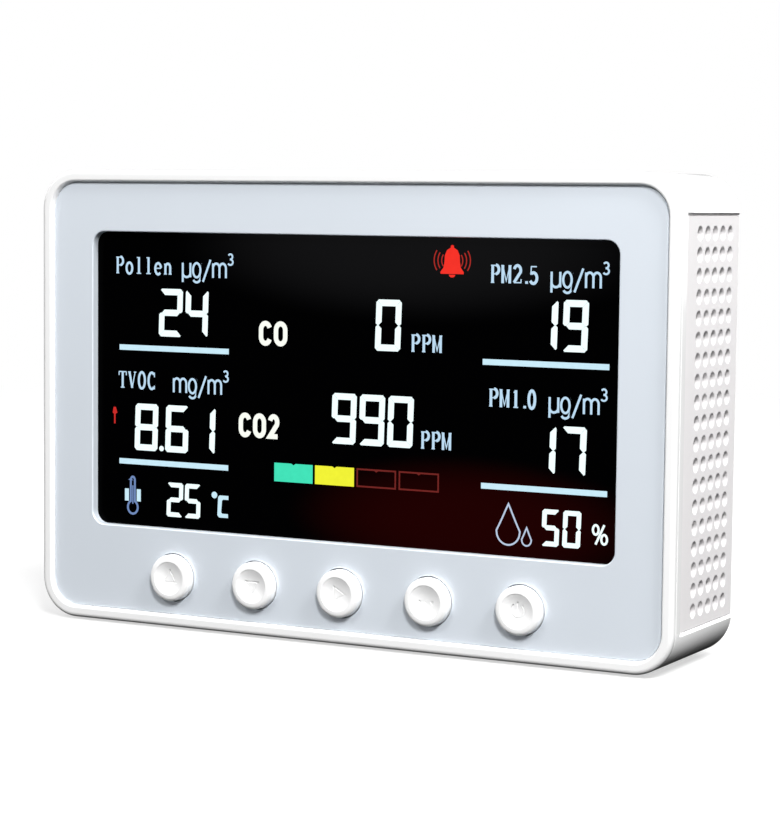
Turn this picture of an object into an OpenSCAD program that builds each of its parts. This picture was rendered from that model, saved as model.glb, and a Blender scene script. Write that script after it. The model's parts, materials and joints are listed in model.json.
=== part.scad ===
// Air quality monitor with a segment display, five buttons and perforated side grilles.
// X runs to the right, Y to the back and Z up. The origin is the middle of the footprint, on the surface that
// the monitor stands on.

/* [Case] */
// Width of the case
body_w = 157; // [154:0.5:166]
// Height of the case without its feet
body_h = 103; // [102:0.5:112]
// Depth of the case from the rim to the back wall
body_d = 35; // [34.5:0.5:42]
// Corner radius seen from the front
corner_r = 9; // [8.5:0.25:10]
// Wall thickness of the rear housing
wall = 2.2; // [1.8:0.1:2.4]
// How far the rim stands in front of the panel
rim_proud = 1; // [0.6:0.1:1.4]
// Width of the rim from the outside to the panel's edge
rim_w = 2.8; // [2.6:0.1:3]
// How far the rubber feet stand below the case
foot_proud = 0.6; // [0.4:0.1:1.5]

/* [Display] */
// Width of the display window
window_w = 130; // [124:1:131]
// Height of the display window
window_h = 67; // [60:1:67]
// Distance from the top of the case to the window
window_top = 13.9; // [13.4:0.1:15]
// Corner radius of the window
window_r = 3; // [1:0.5:4]

/* [Buttons] */
// Diameter of a button cap
button_d = 10.5; // [9:0.5:11]
// How far a cap stands in front of the panel
button_proud = 2; // [1.6:0.1:2.6]
// Distance between neighbouring buttons
button_pitch = 21.7; // [16:0.1:24]
// How far the button row lies to the right of the middle
button_shift = 0.5; // [-1:0.1:1]
// Height of the button row above the bottom of the case
button_rise = 11.2; // [11.1:0.1:12]
// Travel of a button
button_travel = 0.3; // [0.2:0.05:0.4]

/* [Grilles] */
// Diameter of a vent hole
vent_d = 3; // [2:0.1:3.4]
// Distance between neighbouring vent holes
vent_pitch = 4.35; // [4:0.05:4.4]
// Rows of vent holes
vent_rows = 19; // [9:1:19]
// Columns of vent holes
vent_cols = 5; // [3:1:5]
// How deep the grille lies below the side of the case
grille_sink = 0.5; // [0.3:0.1:0.8]

/* [Back] */
// Distance between the two wall hooks
keyhole_pitch = 50; // [46:1:54]
// Diameter of a keyhole's entry
keyhole_d = 8; // [7:0.5:8]
// Width of a keyhole's slot
keyhole_slot = 4; // [3.5:0.5:4]

/* [Hidden] */
$fn = 48;

// Planes across the depth, front to back.
total_d = body_d - rim_proud + button_proud;
panel_y = button_proud - total_d / 2;
rim_y = panel_y - rim_proud;
back_y = rim_y + body_d;
inner_back_y = back_y - wall;
seam_y = panel_y + 0.9;
panel_edge_t = 1;
panel_t = 2;
lcd_y = panel_y + panel_t;
film_t = 0.2;
glass_t = 1.1;
front_glass_y = lcd_y + film_t;
rear_glass_y = front_glass_y + glass_t;
rear_film_y = rear_glass_y + glass_t;
diffuser_y = rear_film_y + film_t;
diffuser_t = 0.4;
guide_y = diffuser_y + diffuser_t;
guide_t = 3;
reflector_y = guide_y + guide_t;
tray_y = reflector_y + film_t;
tray_t = 1;
board_y = panel_y + 10.5;
board_t = 1.6;
board_back_y = board_y + board_t;

// Heights.
base_z = foot_proud;
top_z = base_z + body_h;
mid_z = base_z + body_h / 2;
window_z = top_z - window_top - window_h / 2;
button_z = base_z + button_rise;

// Widths and corners.
half_w = body_w / 2;
inner_half_w = half_w - wall;
ledge_w = 4.6;
seam_chamfer = 0.25;
tongue_gap = 0.15;
panel_gap = 0.1;
back_fillet = 1.2;
rim_fillet = 1.1;
rim_slope = 0.8;

// Case screws and the posts that they join.
post_in = 7.4;
post_x = half_w - post_in;
post_z = [base_z + post_in, top_z - post_in];
front_boss_r = 2.8;
rear_post_r = 3.5;
post_joint_y = panel_y + 14;
screw_r = 1.3;
screw_hole_r = 1.32;
screw_seat_y = back_y - 10;
screw_len = 16;
screw_head_r = 2.5;
screw_head_t = 1.8;
counterbore_r = 2.8;

foot_r = 3.5;
foot_sink = 0.8;
foot_x = half_w - 20;
foot_y = 9;

// Side grilles.
grille_end = 8.6;
grille_h = body_h - 2 * grille_end;
grille_front_y = panel_y + 3.2;
grille_gap = 0.15;
grille_t = 2;
grille_chamfer = 0.8;
grille_lip = 1;
grille_lip_t = 0.8;
grille_edge = 1;
vent_back_in = 5.2;

// Main board and what stands on it.
board_w = 146;
board_bottom = base_z + 4;
board_top = top_z - 5;
board_screw_x = half_w - 7.6;
board_screw_z = [base_z + 29.4, base_z + 79.4];
board_boss_r = 2.2;
board_screw_r = 0.83;
board_screw_len = 6.4;
board_screw_head_r = 1.8;
board_screw_head_t = 1.2;
tact_w = 6;
tact_h = 3.5;
tact_y = board_y - tact_h;
plunger_r = 1.7;
plunger_y = board_y - 5;
plunger_gap = 0.1;
tact_floor = 0.8;
plunger_room = 0.5;
button_gap = 0.25;
button_edge_r = 0.9;
dish_in = 1.3;
dish_depth = 0.7;
mark_depth = 0.25;
flange_out = 0.6;
flange_t = 1;
stem_r = 2;
button_x = [for (i = [-2:2]) i * button_pitch + button_shift];

// Liquid crystal cell.
glass_w = window_w + 4;
glass_top = window_z + window_h / 2 + 1.45;
glass_bottom = window_z - window_h / 2 - 1.45;
ledge_h = 2.1;
holder_wall = 1;
pin_pitch = 2.54;
pin_count = 34;
pin_w = 0.6;
pin_t = 0.4;

// Dust sensor.
dust_size = [38, 14, 50];
dust_x = half_w - 11.5 - dust_size[0];
dust_y = board_back_y;
dust_z = top_z - 12.1 - dust_size[2];
dust_wall = 1;
fan_size = 20;
fan_depth = 9;
fan_bore_r = 9.2;
fan_x = dust_x + dust_size[0] - dust_wall - fan_size / 2 - 0.2;
fan_z = dust_z + dust_size[2] - dust_wall - fan_size / 2 - 0.2;
fan_y = dust_y + dust_size[1] - dust_wall - fan_depth - 0.1;
fan_plate_t = 1;
fan_pin_r = 0.55;
fan_bearing_gap = 0.05;
fan_cap_r = 3.4;
fan_spoke_w = 1.6;
fan_blade_tilt = 40;
fan_blade_w = 5.4;
fan_blade_t = 0.6;
laser_r = 3.3;
laser_len = 12;
fan_hub_r = 4.5;
fan_tip_r = 8.6;
fan_blades = 7;

// Battery, charging board and socket.
battery_size = [54, 8, 36];
battery_rib_gap = 0.4;
battery_rib_t = 1.2;
battery_rib_depth = 5;
battery_shelf_w = 44;
tape_t = 0.3;
tape_w = 48;
battery_y = inner_back_y - tape_t - battery_size[1];
battery_z = base_z + 23.4;
charge_z = base_z + 8.4;
charge_size = [20, 18, 1.2];
charge_screw_x = 7.6;
charge_screw_y = inner_back_y - 14.5;
charge_boss_r = 2.4;
pilot_r = 0.85;
usb_w = 8.94;
usb_h = 3.26;
usb_len = 7.35;
usb_recess = 0.3;
usb_wall = 0.3;
usb_clear = 0.7;
usb_dish = 3;
usb_dish_depth = 0.8;
usb_z = charge_z + charge_size[2] + usb_h / 2;

// Places on the back of the main board.
chip_x = 0;
chip_z = base_z + 70.4;
chip_w = 12;
plug_depth = 5;
chip_t = 1.4;
chip_lift = 0.2;
chip_legs = 12;
chip_leg_pitch = 0.8;
chip_dot_r = 0.5;
capacitor_x = -14;
capacitor_z = chip_z - 6;
capacitor_pitch = 7;
capacitor_r = 2.4;
capacitor_h = 5;
plug_w = 8;
plug_h = 5;
contact_x = 2.6;
battery_plug = [-24, base_z + 66.4];
dust_plug = [dust_x + 10, dust_z - 6];
charge_plug = [0, base_z + 17.4];
buzzer_x = 30;
buzzer_z = base_z + 14.4;
buzzer_r = 6;
buzzer_h = 5.5;
co2_x = -51;
co2_z = base_z + 76.4;
co2_board = [34, 1.2, 21];
co2_case = [30, 7.5, 18];
co2_case_t = 0.5;
co2_filter_x = 9;
co2_filter_r = 3;
co_x = -50;
co_z = base_z + 26.4;
co_can_r = 7;
co_can_h = 12;
co_cap_r = 7.9;
co_cap_overlap = 2;
tvoc_x = -62;
tvoc_z = base_z + 45.4;
tvoc_r = 4.6;
tvoc_h = 4.5;
climate_x = -70;
climate_w = 3;
climate_t = 1.1;

// Wall hooks.
keyhole_z = base_z + 79.4;
keyhole_rise = 6.5;
cup_wall = 1.2;
cup_depth = 4.2;
cup_room = 0.4;
cup_rise = 2;

// A prism along Y with round corners in the XZ plane, its middle at height z.
module slab(w, h, r, y0, y1, x = 0, z = 0) {
    translate([x, y1, z]) rotate([90, 0, 0]) linear_extrude(y1 - y0) rounded_rect(w, h, r);
}

module rounded_rect(w, h, r) {
    square([w, h - 2 * r], center = true);
    square([w - 2 * r, h], center = true);
    for (x = [-1, 1], y = [-1, 1]) translate([x * (w / 2 - r), y * (h / 2 - r)]) circle(r);
}

// A block between two corners.
module block(low, high) {
    translate(low) cube(high - low);
}

// A cylinder along Y.
module rod(r, y0, y1, x = 0, z = 0) {
    translate([x, y0, z]) rotate([-90, 0, 0]) cylinder(h = y1 - y0, r = r);
}

// Sweeps a profile round a rectangle with round corners. The profile's x is the distance from a corner's
// centre, and its y is the depth.
module sweep_round(w, h, r) {
    for (q = [0:3]) {
        run = q % 2 == 0 ? h - 2 * r : w - 2 * r;
        reach = q % 2 == 0 ? w / 2 - r : h / 2 - r;
        sx = q == 0 || q == 3 ? 1 : -1;
        sz = q < 2 ? 1 : -1;
        rotate([0, -90 * q, 0]) translate([reach, 0, 0]) linear_extrude(run, center = true) children();
        translate([sx * (w / 2 - r), 0, sz * (h / 2 - r)])
            rotate([-90, 0, 0]) rotate([0, 0, -90 * (q + 1)]) rotate_extrude(angle = 90) children();
    }
}

// Points of an arc, from angle a0 to a1.
function arc(cx, cy, r, a0, a1, steps = 5) =
    [for (i = [0:steps]) let (a = a0 + (a1 - a0) * i / steps) [cx + r * cos(a), cy + r * sin(a)]];

// The case.

module front_frame() {
    inner_r = corner_r - rim_w;
    tongue_r = corner_r - wall - tongue_gap;
    ledge_r = corner_r - ledge_w;
    profile = concat(
        [[inner_r, panel_y], [inner_r, panel_y + panel_edge_t], [ledge_r, panel_y + panel_edge_t]],
        [[ledge_r, grille_front_y], [tongue_r, grille_front_y], [tongue_r, seam_y]],
        [[corner_r - seam_chamfer, seam_y], [corner_r, seam_y - seam_chamfer]],
        arc(corner_r - rim_fillet, rim_y + rim_fillet, rim_fillet, 0, -90),
        [[inner_r + rim_slope, rim_y]]
    );
    color("white") difference() {
        union() {
            translate([0, 0, mid_z]) sweep_round(body_w, body_h, corner_r) polygon(profile);
            for (x = [-1, 1], z = post_z)
                rod(front_boss_r, lcd_y + 0.1, post_joint_y - 0.1, x * post_x, z);
        }
        for (x = [-1, 1], z = post_z)
            rod(screw_hole_r, screw_seat_y - screw_len - 1, post_joint_y, x * post_x, z);
    }
}

module front_panel() {
    edge_w = body_w - 2 * (rim_w + panel_gap);
    edge_h = body_h - 2 * (rim_w + panel_gap);
    core_w = body_w - 2 * (ledge_w + panel_gap);
    core_h = body_h - 2 * (ledge_w + panel_gap);
    color("lightsteelblue") difference() {
        union() {
            slab(edge_w, edge_h, corner_r - rim_w - panel_gap, panel_y, panel_y + panel_edge_t, z = mid_z);
            slab(core_w, core_h, corner_r - ledge_w, panel_y + panel_edge_t, lcd_y, z = mid_z);
            for (x = [-1, 1], z = board_screw_z)
                rod(board_boss_r, lcd_y - 0.1, board_y, x * board_screw_x, z);
        }
        slab(window_w, window_h, window_r, panel_y - 1, lcd_y + 1, z = window_z);
        for (x = button_x) rod(button_d / 2 + button_gap, panel_y - 1, lcd_y + 1, x, button_z);
        for (x = [-1, 1], z = board_screw_z)
            rod(pilot_r, board_y - 5.5, board_y + 1, x * board_screw_x, z);
    }
}

// The wall of the housing, from a corner's centre outwards, with the back wall turned in.
module housing_profile() {
    polygon(concat(
        [[0, inner_back_y], [corner_r - wall, inner_back_y], [corner_r - wall, seam_y]],
        [[corner_r - seam_chamfer, seam_y], [corner_r, seam_y + seam_chamfer]],
        arc(corner_r - back_fillet, back_y - back_fillet, back_fillet, 0, 90),
        [[0, back_y]]
    ));
}

// Cuts the window for a grille in the right side, with a chamfer along its outer edge.
module grille_cut() {
    low_z = mid_z - grille_h / 2;
    high_z = mid_z + grille_h / 2;
    block([inner_half_w - 1, grille_front_y, low_z], [half_w + 1, inner_back_y, high_z]);
    block([half_w - grille_sink - grille_t, grille_front_y, low_z], [half_w + 1, back_y + 1, high_z]);
    bar_w = grille_chamfer * sqrt(2);
    for (z = [low_z, high_z])
        translate([half_w, (grille_front_y + back_y + 1) / 2, z]) rotate([0, 45, 0])
            cube([bar_w, back_y + 1 - grille_front_y, bar_w], center = true);
}

module keyhole_opening(y0, y1) {
    rod(keyhole_d / 2, y0, y1, 0, keyhole_z);
    rod(keyhole_slot / 2, y0, y1, 0, keyhole_z + keyhole_rise);
    block([-keyhole_slot / 2, y0, keyhole_z], [keyhole_slot / 2, y1, keyhole_z + keyhole_rise]);
}

// A slot round the socket, larger than its shell by the given amount.
module usb_slot(larger, y0, y1) {
    slab(usb_w + larger, usb_h + larger, (usb_h + larger) / 2 - 0.01, y0, y1, z = usb_z);
}

module rear_housing() {
    cup_low = keyhole_z - keyhole_d / 2 - cup_wall - cup_room;
    cup_high = keyhole_z + keyhole_rise + keyhole_slot / 2 + cup_wall + cup_rise;
    cup_half = keyhole_d / 2 + cup_wall + cup_room;
    cup_y = inner_back_y - cup_depth;
    rib_x = battery_size[0] / 2 + battery_rib_gap;
    rib_y = inner_back_y - battery_rib_depth;
    shelf = battery_shelf_w / 2;
    color("whitesmoke") difference() {
        union() {
            translate([0, 0, mid_z]) {
                sweep_round(body_w, body_h, corner_r) housing_profile();
                block([corner_r - half_w, inner_back_y, corner_r - body_h / 2],
                      [half_w - corner_r, back_y, body_h / 2 - corner_r]);
            }
            for (x = [-1, 1], z = post_z)
                rod(rear_post_r, post_joint_y, inner_back_y + 0.5, x * post_x, z);
            for (x = [-1, 1]) translate([x * keyhole_pitch / 2, 0, 0])
                block([-cup_half, cup_y, cup_low], [cup_half, inner_back_y + 0.5, cup_high]);
            for (side = [0, 1]) mirror([side, 0, 0]) {
                translate([charge_screw_x, charge_screw_y, base_z + wall - 0.5])
                    cylinder(h = charge_z - base_z - wall + 0.5, r = charge_boss_r);
                block([rib_x, rib_y, battery_z + 2],
                      [rib_x + battery_rib_t, inner_back_y + 0.5, battery_z + battery_size[2] - 2]);
            }
            block([-shelf, rib_y, battery_z - battery_rib_gap - battery_rib_t],
                  [shelf, inner_back_y + 0.5, battery_z - battery_rib_gap]);
        }
        grille_cut();
        mirror([1, 0, 0]) grille_cut();
        for (x = [-1, 1], z = post_z) {
            rod(screw_r + 0.2, post_joint_y - 1, screw_seat_y + 1, x * post_x, z);
            rod(counterbore_r, screw_seat_y, back_y + 1, x * post_x, z);
        }
        for (x = [-1, 1]) translate([x * keyhole_pitch / 2, 0, 0]) {
            keyhole_opening(inner_back_y - 1, back_y + 1);
            block([cup_wall - cup_half, cup_y + cup_wall, cup_low + cup_wall],
                  [cup_half - cup_wall, inner_back_y, cup_high - cup_wall]);
        }
        usb_slot(usb_clear, inner_back_y - 1, back_y + 1);
        usb_slot(usb_dish, back_y - usb_dish_depth, back_y + 1);
        for (x = [-1, 1]) translate([x * charge_screw_x, charge_screw_y, charge_z - 5])
            cylinder(h = 6, r = pilot_r);
        at_feet() translate([0, 0, base_z - 1]) cylinder(h = 1 + foot_sink, r = foot_r + 0.1);
    }
}

// One grille insert for the right side: a perforated plate with a lip behind the housing's wall.
module side_grille() {
    outer_x = half_w - grille_sink;
    inner_x = outer_x - grille_t;
    plate_half = grille_h / 2 - grille_gap;
    plate_y = grille_front_y + grille_gap;
    lip_x = inner_half_w - grille_gap;
    outline = [
        [inner_x, -plate_half], [outer_x - grille_chamfer, -plate_half],
        [outer_x, -plate_half + grille_chamfer], [outer_x, plate_half - grille_chamfer],
        [outer_x - grille_chamfer, plate_half], [inner_x, plate_half]
    ];
    difference() {
        union() {
            translate([0, back_y, mid_z])
                rotate([90, 0, 0]) linear_extrude(back_y - plate_y) polygon(outline);
            translate([0, 0, mid_z]) for (end = [0, 1]) mirror([0, 0, end])
                block([inner_x - grille_lip_t, plate_y, plate_half - 2],
                      [lip_x, inner_back_y - 0.1, plate_half + grille_lip]);
        }
        translate([outer_x, back_y, mid_z]) rotate([0, 0, 45])
            cube([grille_edge * sqrt(2), grille_edge * sqrt(2), grille_h + 10], center = true);
        for (c = [0:vent_cols - 1], r = [0:vent_rows - 1])
            translate([inner_x - 3, back_y - vent_back_in - c * vent_pitch,
                       mid_z + (r - (vent_rows - 1) / 2) * vent_pitch])
                rotate([0, 90, 0]) cylinder(h = 8, r = vent_d / 2);
    }
}

module side_grille_right() { color("whitesmoke") side_grille(); }

module side_grille_left() { color("whitesmoke") mirror([1, 0, 0]) side_grille(); }

// A screw along Y with a cross recess. Its head's underside is at seat and its tip in front.
module screw(r, length, head_r, head_t, seat, x, z) {
    difference() {
        union() {
            rod(r, seat - length, seat, x, z);
            rod(head_r, seat, seat + head_t, x, z);
        }
        translate([x, seat + head_t, z]) for (a = [0, 90]) rotate([0, a, 0])
            cube([head_r * 1.3, head_t, head_r * 0.3], center = true);
    }
}

module case_screws() {
    color("silver") for (x = [-1, 1], z = post_z)
        screw(screw_r, screw_len, screw_head_r, screw_head_t, screw_seat_y, x * post_x, z);
}

module at_feet() {
    for (x = [-1, 1], y = [-1, 1]) translate([x * foot_x, rim_y + body_d / 2 + y * foot_y, 0]) children();
}

module rubber_feet() {
    color("dimgray") at_feet() cylinder(h = base_z + foot_sink, r = foot_r);
}

// The display.

module glass_block(y0, y1, side_in = 0, end_in = 0, drop = 0) {
    block([side_in - glass_w / 2, y0, glass_bottom + end_in - drop],
          [glass_w / 2 - side_in, y1, glass_top - end_in]);
}

module display_gasket() {
    color("black") difference() {
        glass_block(lcd_y, front_glass_y);
        glass_block(lcd_y - 1, front_glass_y + 1, 1, 0.9);
    }
}

module lcd_front_polarizer() {
    color("black") glass_block(lcd_y, front_glass_y, 1, 0.9);
}

module lcd_front_glass() {
    color("lightblue") glass_block(front_glass_y, rear_glass_y);
}

module lcd_rear_glass() {
    color("lightblue") glass_block(rear_glass_y, rear_film_y, drop = ledge_h);
}

module lcd_rear_polarizer() {
    color("darkslategray") glass_block(rear_film_y, diffuser_y, 1, 0.9);
}

module backlight_diffuser() {
    color("ivory") glass_block(diffuser_y, guide_y, 0.1, 0.1);
}

module backlight_light_guide() {
    color("azure") intersection() {
        glass_block(guide_y, reflector_y, 0.1, 0.1);
        translate([2, 0, 0]) glass_block(guide_y, reflector_y);
    }
}

module backlight_reflector() {
    color("white") glass_block(reflector_y, tray_y, 0.1, 0.1);
}

module backlight_led_strip() {
    led_count = 12;
    strip_x = 0.1 - glass_w / 2;
    led_pitch = (glass_top - glass_bottom) / led_count;
    color("gold") union() {
        block([strip_x, guide_y, glass_bottom + 0.2], [strip_x + 0.6, reflector_y, glass_top - 0.2]);
        for (i = [0:led_count - 1]) let (z = glass_bottom + (i + 0.5) * led_pitch)
            block([strip_x + 0.5, guide_y + 0.5, z - 1.4], [strip_x + 1.8, reflector_y - 0.5, z + 1.4]);
    }
}

module lcd_holder() {
    inner = glass_w / 2 + 0.05;
    outer = inner + holder_wall;
    top = glass_top + 0.05;
    color("white") difference() {
        block([-outer, lcd_y, glass_bottom - ledge_h], [outer, tray_y + tray_t, top + holder_wall]);
        block([-inner, lcd_y - 1, glass_bottom - ledge_h - 1], [inner, tray_y, top]);
    }
}

module lcd_pins() {
    low = glass_bottom - ledge_h;
    color("silver") for (i = [0:pin_count - 1]) {
        x = (i - (pin_count - 1) / 2) * pin_pitch;
        block([x - pin_w / 2, rear_glass_y - pin_t, low - pin_t], [x + pin_w / 2, rear_glass_y, low + 1.7]);
        block([x - pin_w / 2, rear_glass_y - pin_t, low - pin_t], [x + pin_w / 2, board_y, low]);
    }
}

// The main board and its components.

module main_board() {
    half = board_w / 2;
    notch = 6.8;
    color("seagreen") difference() {
        block([-half, board_y, board_bottom], [half, board_back_y, board_top]);
        for (x = [-1, 1], z = [board_bottom, board_top]) translate([x * half, board_y, z])
            cube([2 * notch, 5, 2 * notch], center = true);
        for (x = [-1, 1], z = board_screw_z) rod(1, board_y - 1, board_back_y + 1, x * board_screw_x, z);
    }
}

module main_board_screws() {
    color("silver") for (x = [-1, 1], z = board_screw_z)
        screw(board_screw_r, board_screw_len, board_screw_head_r, board_screw_head_t, board_back_y,
              x * board_screw_x, z);
}

module on_board(x, z) {
    translate([x, board_back_y, z]) children();
}

module microcontroller() {
    color("black") on_board(chip_x, chip_z) difference() {
        translate([0, chip_lift + chip_t / 2, 0]) cube([chip_w, chip_t, chip_w], center = true);
        translate([chip_w / 2 - 1.4, chip_lift + chip_t - 0.1, chip_w / 2 - 1.4])
            rotate([-90, 0, 0]) cylinder(h = 1, r = chip_dot_r);
    }
}

module microcontroller_legs() {
    color("silver") on_board(chip_x, chip_z) for (a = [0:90:270], i = [0:chip_legs - 1])
        rotate([0, a, 0]) translate([chip_w / 2, 0, (i - (chip_legs - 1) / 2) * chip_leg_pitch]) {
            translate([0, 0.7, -0.15]) cube([0.8, 0.2, 0.3]);
            translate([0.6, 0, -0.15]) cube([0.2, 0.9, 0.3]);
            translate([0.6, 0, -0.15]) cube([0.8, 0.2, 0.3]);
        }
}

module board_capacitors() {
    color("darkblue") for (i = [0:2]) on_board(capacitor_x, capacitor_z + capacitor_pitch * i)
        rotate([-90, 0, 0]) {
            cylinder(h = capacitor_h, r = capacitor_r);
            translate([0, 0, capacitor_h - 0.1]) cylinder(h = 0.5, r = capacitor_r - 0.4);
        }
}

module board_connectors() {
    color("ivory") for (place = [battery_plug, dust_plug, charge_plug])
        on_board(place[0], place[1]) difference() {
            translate([-plug_w / 2, 0, -plug_h / 2]) cube([plug_w, plug_depth, plug_h]);
            for (x = [-contact_x, contact_x])
                translate([x - 0.5, plug_depth - 2.5, -1.2]) cube([1, 3, 2.4]);
        }
}

module buzzer() {
    color("black") on_board(buzzer_x, buzzer_z) difference() {
        rotate([-90, 0, 0]) cylinder(h = buzzer_h, r = buzzer_r);
        translate([0, buzzer_h / 2, 0]) rotate([-90, 0, 0]) cylinder(h = buzzer_h, r = 1);
    }
}

module switch_housings() {
    half = tact_w / 2;
    color("dimgray") for (x = button_x) difference() {
        block([x - half, tact_y, button_z - half], [x + half, board_y, button_z + half]);
        rod(plunger_r + 0.05, tact_y - 1, board_y - tact_floor, x, button_z);
    }
}

module switch_plunger(i) {
    color("black") rod(plunger_r, plunger_y, board_y - tact_floor - plunger_room, button_x[i], button_z);
}

module switch_plunger_up() { switch_plunger(0); }
module switch_plunger_down() { switch_plunger(1); }
module switch_plunger_next() { switch_plunger(2); }
module switch_plunger_menu() { switch_plunger(3); }
module switch_plunger_power() { switch_plunger(4); }

// The buttons. A cap has a dished face, a flange behind the panel and a stem towards its switch.

module button_cap(i) {
    r = button_d / 2;
    dish_r = r - dish_in;
    face_y = panel_y - button_proud;
    flange_y = lcd_y + 0.1;
    color("white") difference() {
        translate([button_x[i], 0, button_z]) rotate([-90, 0, 0]) rotate_extrude() polygon(concat(
            [[0, plunger_y - plunger_gap], [stem_r, plunger_y - plunger_gap], [stem_r, flange_y + flange_t]],
            [[r + flange_out, flange_y + flange_t], [r + flange_out, flange_y], [r, flange_y]],
            arc(r - button_edge_r, face_y + button_edge_r, button_edge_r, 0, -90),
            [for (k = [1:-0.25:0]) [dish_r * k, face_y + dish_depth * (1 - k * k)]]
        ));
        translate([button_x[i], face_y + dish_depth + mark_depth, button_z])
            rotate([90, 0, 0]) linear_extrude(3) children();
    }
}

module triangle_mark(turn) {
    rotate(turn) difference() {
        circle(2.2, $fn = 3);
        circle(1.3, $fn = 3);
    }
}

module button_cap_up() { button_cap(0) triangle_mark(90); }

module button_cap_down() { button_cap(1) triangle_mark(-90); }

module button_cap_next() { button_cap(2) triangle_mark(0); }

module button_cap_menu() { button_cap(3) for (x = [-1.9, 0, 1.9]) translate([x, 0]) circle(0.5); }

module button_cap_power() {
    button_cap(4) {
        difference() {
            circle(2.1);
            circle(1.6);
            translate([-0.8, 0]) square([1.6, 3]);
        }
        translate([-0.25, 0.3]) square([0.5, 2.2]);
    }
}

// The dust sensor: a tray and a lid round a laser, a board and a fan.

module dust_sensor_tray() {
    low = [dust_x, dust_y, dust_z];
    high = low + dust_size;
    color("slategray") difference() {
        block(low, high - [0, dust_wall, 0]);
        block(low + [dust_wall, dust_wall, dust_wall], high - [dust_wall, -1, dust_wall]);
        for (z = [4:4:20])
            block([high[0] - 2, low[1] + 4, low[2] + z], [high[0] + 1, high[1] - 4, low[2] + z + 2]);
    }
}

module dust_sensor_lid() {
    lid_y = dust_y + dust_size[1] - dust_wall;
    color("slategray") difference() {
        block([dust_x, lid_y, dust_z], [dust_x + dust_size[0], lid_y + dust_wall, dust_z + dust_size[2]]);
        difference() {
            rod(fan_bore_r - 0.6, lid_y - 1, lid_y + 3, fan_x, fan_z);
            for (a = [0, 60, 120]) translate([fan_x, lid_y, fan_z]) rotate([0, a, 0])
                cube([2 * fan_bore_r, 8, 1], center = true);
            rod(3, lid_y - 2, lid_y + 4, fan_x, fan_z);
        }
    }
}

module dust_sensor_board() {
    low = [dust_x + dust_wall + 0.2, dust_y + dust_wall, dust_z + dust_wall + 0.2];
    color("darkgreen") block(low, [dust_x + dust_size[0] - dust_wall - 0.2, low[1] + 1,
                                   dust_z + dust_size[2] - dust_wall - 0.2]);
}

module dust_sensor_laser() {
    color("goldenrod") translate([dust_x + 4, dust_y + dust_wall + 1 + 3.5, dust_z + 14]) {
        rotate([0, 90, 0]) cylinder(h = laser_len, r = laser_r);
        translate([3, -3.5, -2]) cube([6, 3, 4]);
    }
}

module dust_fan_frame() {
    half = fan_size / 2;
    color("black") union() {
        difference() {
            block([fan_x - half, fan_y, fan_z - half], [fan_x + half, fan_y + fan_depth, fan_z + half]);
            rod(fan_bore_r, fan_y - 1, fan_y + fan_depth + 1, fan_x, fan_z);
        }
        for (a = [0, 60, 120]) translate([fan_x, fan_y + fan_plate_t / 2, fan_z]) rotate([0, a, 0])
            cube([2 * fan_bore_r + 0.4, fan_plate_t, fan_spoke_w], center = true);
        rod(fan_cap_r, fan_y, fan_y + fan_plate_t, fan_x, fan_z);
        rod(fan_pin_r, fan_y, fan_y + fan_depth - 2, fan_x, fan_z);
    }
}

module dust_fan_rotor() {
    hub_y = fan_y + fan_plate_t + 0.3;
    hub_end = fan_y + fan_depth - 0.5;
    hub_mid = (hub_y + hub_end) / 2;
    color("dimgray") difference() {
        union() {
            rod(fan_hub_r, hub_y, hub_end, fan_x, fan_z);
            for (i = [0:fan_blades - 1])
                translate([fan_x, hub_mid, fan_z]) rotate([0, i * 360 / fan_blades, 0])
                    rotate([fan_blade_tilt, 0, 0])
                        translate([fan_hub_r - 0.8, -fan_blade_w / 2, -fan_blade_t / 2])
                            cube([fan_tip_r - fan_hub_r + 0.3, fan_blade_w, fan_blade_t]);
        }
        rod(fan_pin_r + fan_bearing_gap, hub_y - 1, fan_y + fan_depth - 1.6, fan_x, fan_z);
    }
}

// The gas and climate sensors.

module co2_sensor_board() {
    color("darkgreen") on_board(co2_x, co2_z)
        translate([-co2_board[0] / 2, 0, -co2_board[2] / 2]) cube(co2_board);
}

module co2_sensor_housing() {
    t = co2_case_t;
    color("goldenrod") on_board(co2_x, co2_z) difference() {
        translate([-co2_case[0] / 2, co2_board[1], -co2_case[2] / 2]) cube(co2_case);
        translate([t - co2_case[0] / 2, co2_board[1] - t, t - co2_case[2] / 2])
            cube([co2_case[0] - 2 * t, co2_case[1], co2_case[2] - 2 * t]);
        for (x = [-co2_filter_x, co2_filter_x])
            translate([x, co2_case[1] - t, 0]) rotate([-90, 0, 0]) cylinder(h = 3, r = co2_filter_r);
    }
}

module co2_sensor_filters() {
    filter_y = co2_board[1] + co2_case[1] - co2_case_t;
    color("white") on_board(co2_x, co2_z) for (x = [-co2_filter_x, co2_filter_x])
        translate([x, filter_y, 0]) rotate([-90, 0, 0]) cylinder(h = 0.4, r = co2_filter_r - 0.05);
}

module co_sensor_can() {
    color("silver") on_board(co_x, co_z) rotate([-90, 0, 0]) cylinder(h = co_can_h, r = co_can_r);
}

module co_sensor_cap() {
    cap_y = co_can_h - co_cap_overlap;
    color("white") on_board(co_x, co_z) difference() {
        translate([0, cap_y, 0]) rotate([-90, 0, 0]) cylinder(h = 4, r = co_cap_r);
        translate([0, cap_y - 1, 0])
            rotate([-90, 0, 0]) cylinder(h = co_cap_overlap + 1, r = co_can_r + 0.05);
        for (a = [0:60:300])
            rotate([0, a, 0]) translate([4, cap_y - 1, 0]) rotate([-90, 0, 0]) cylinder(h = 6, r = 0.9);
    }
}

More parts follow.
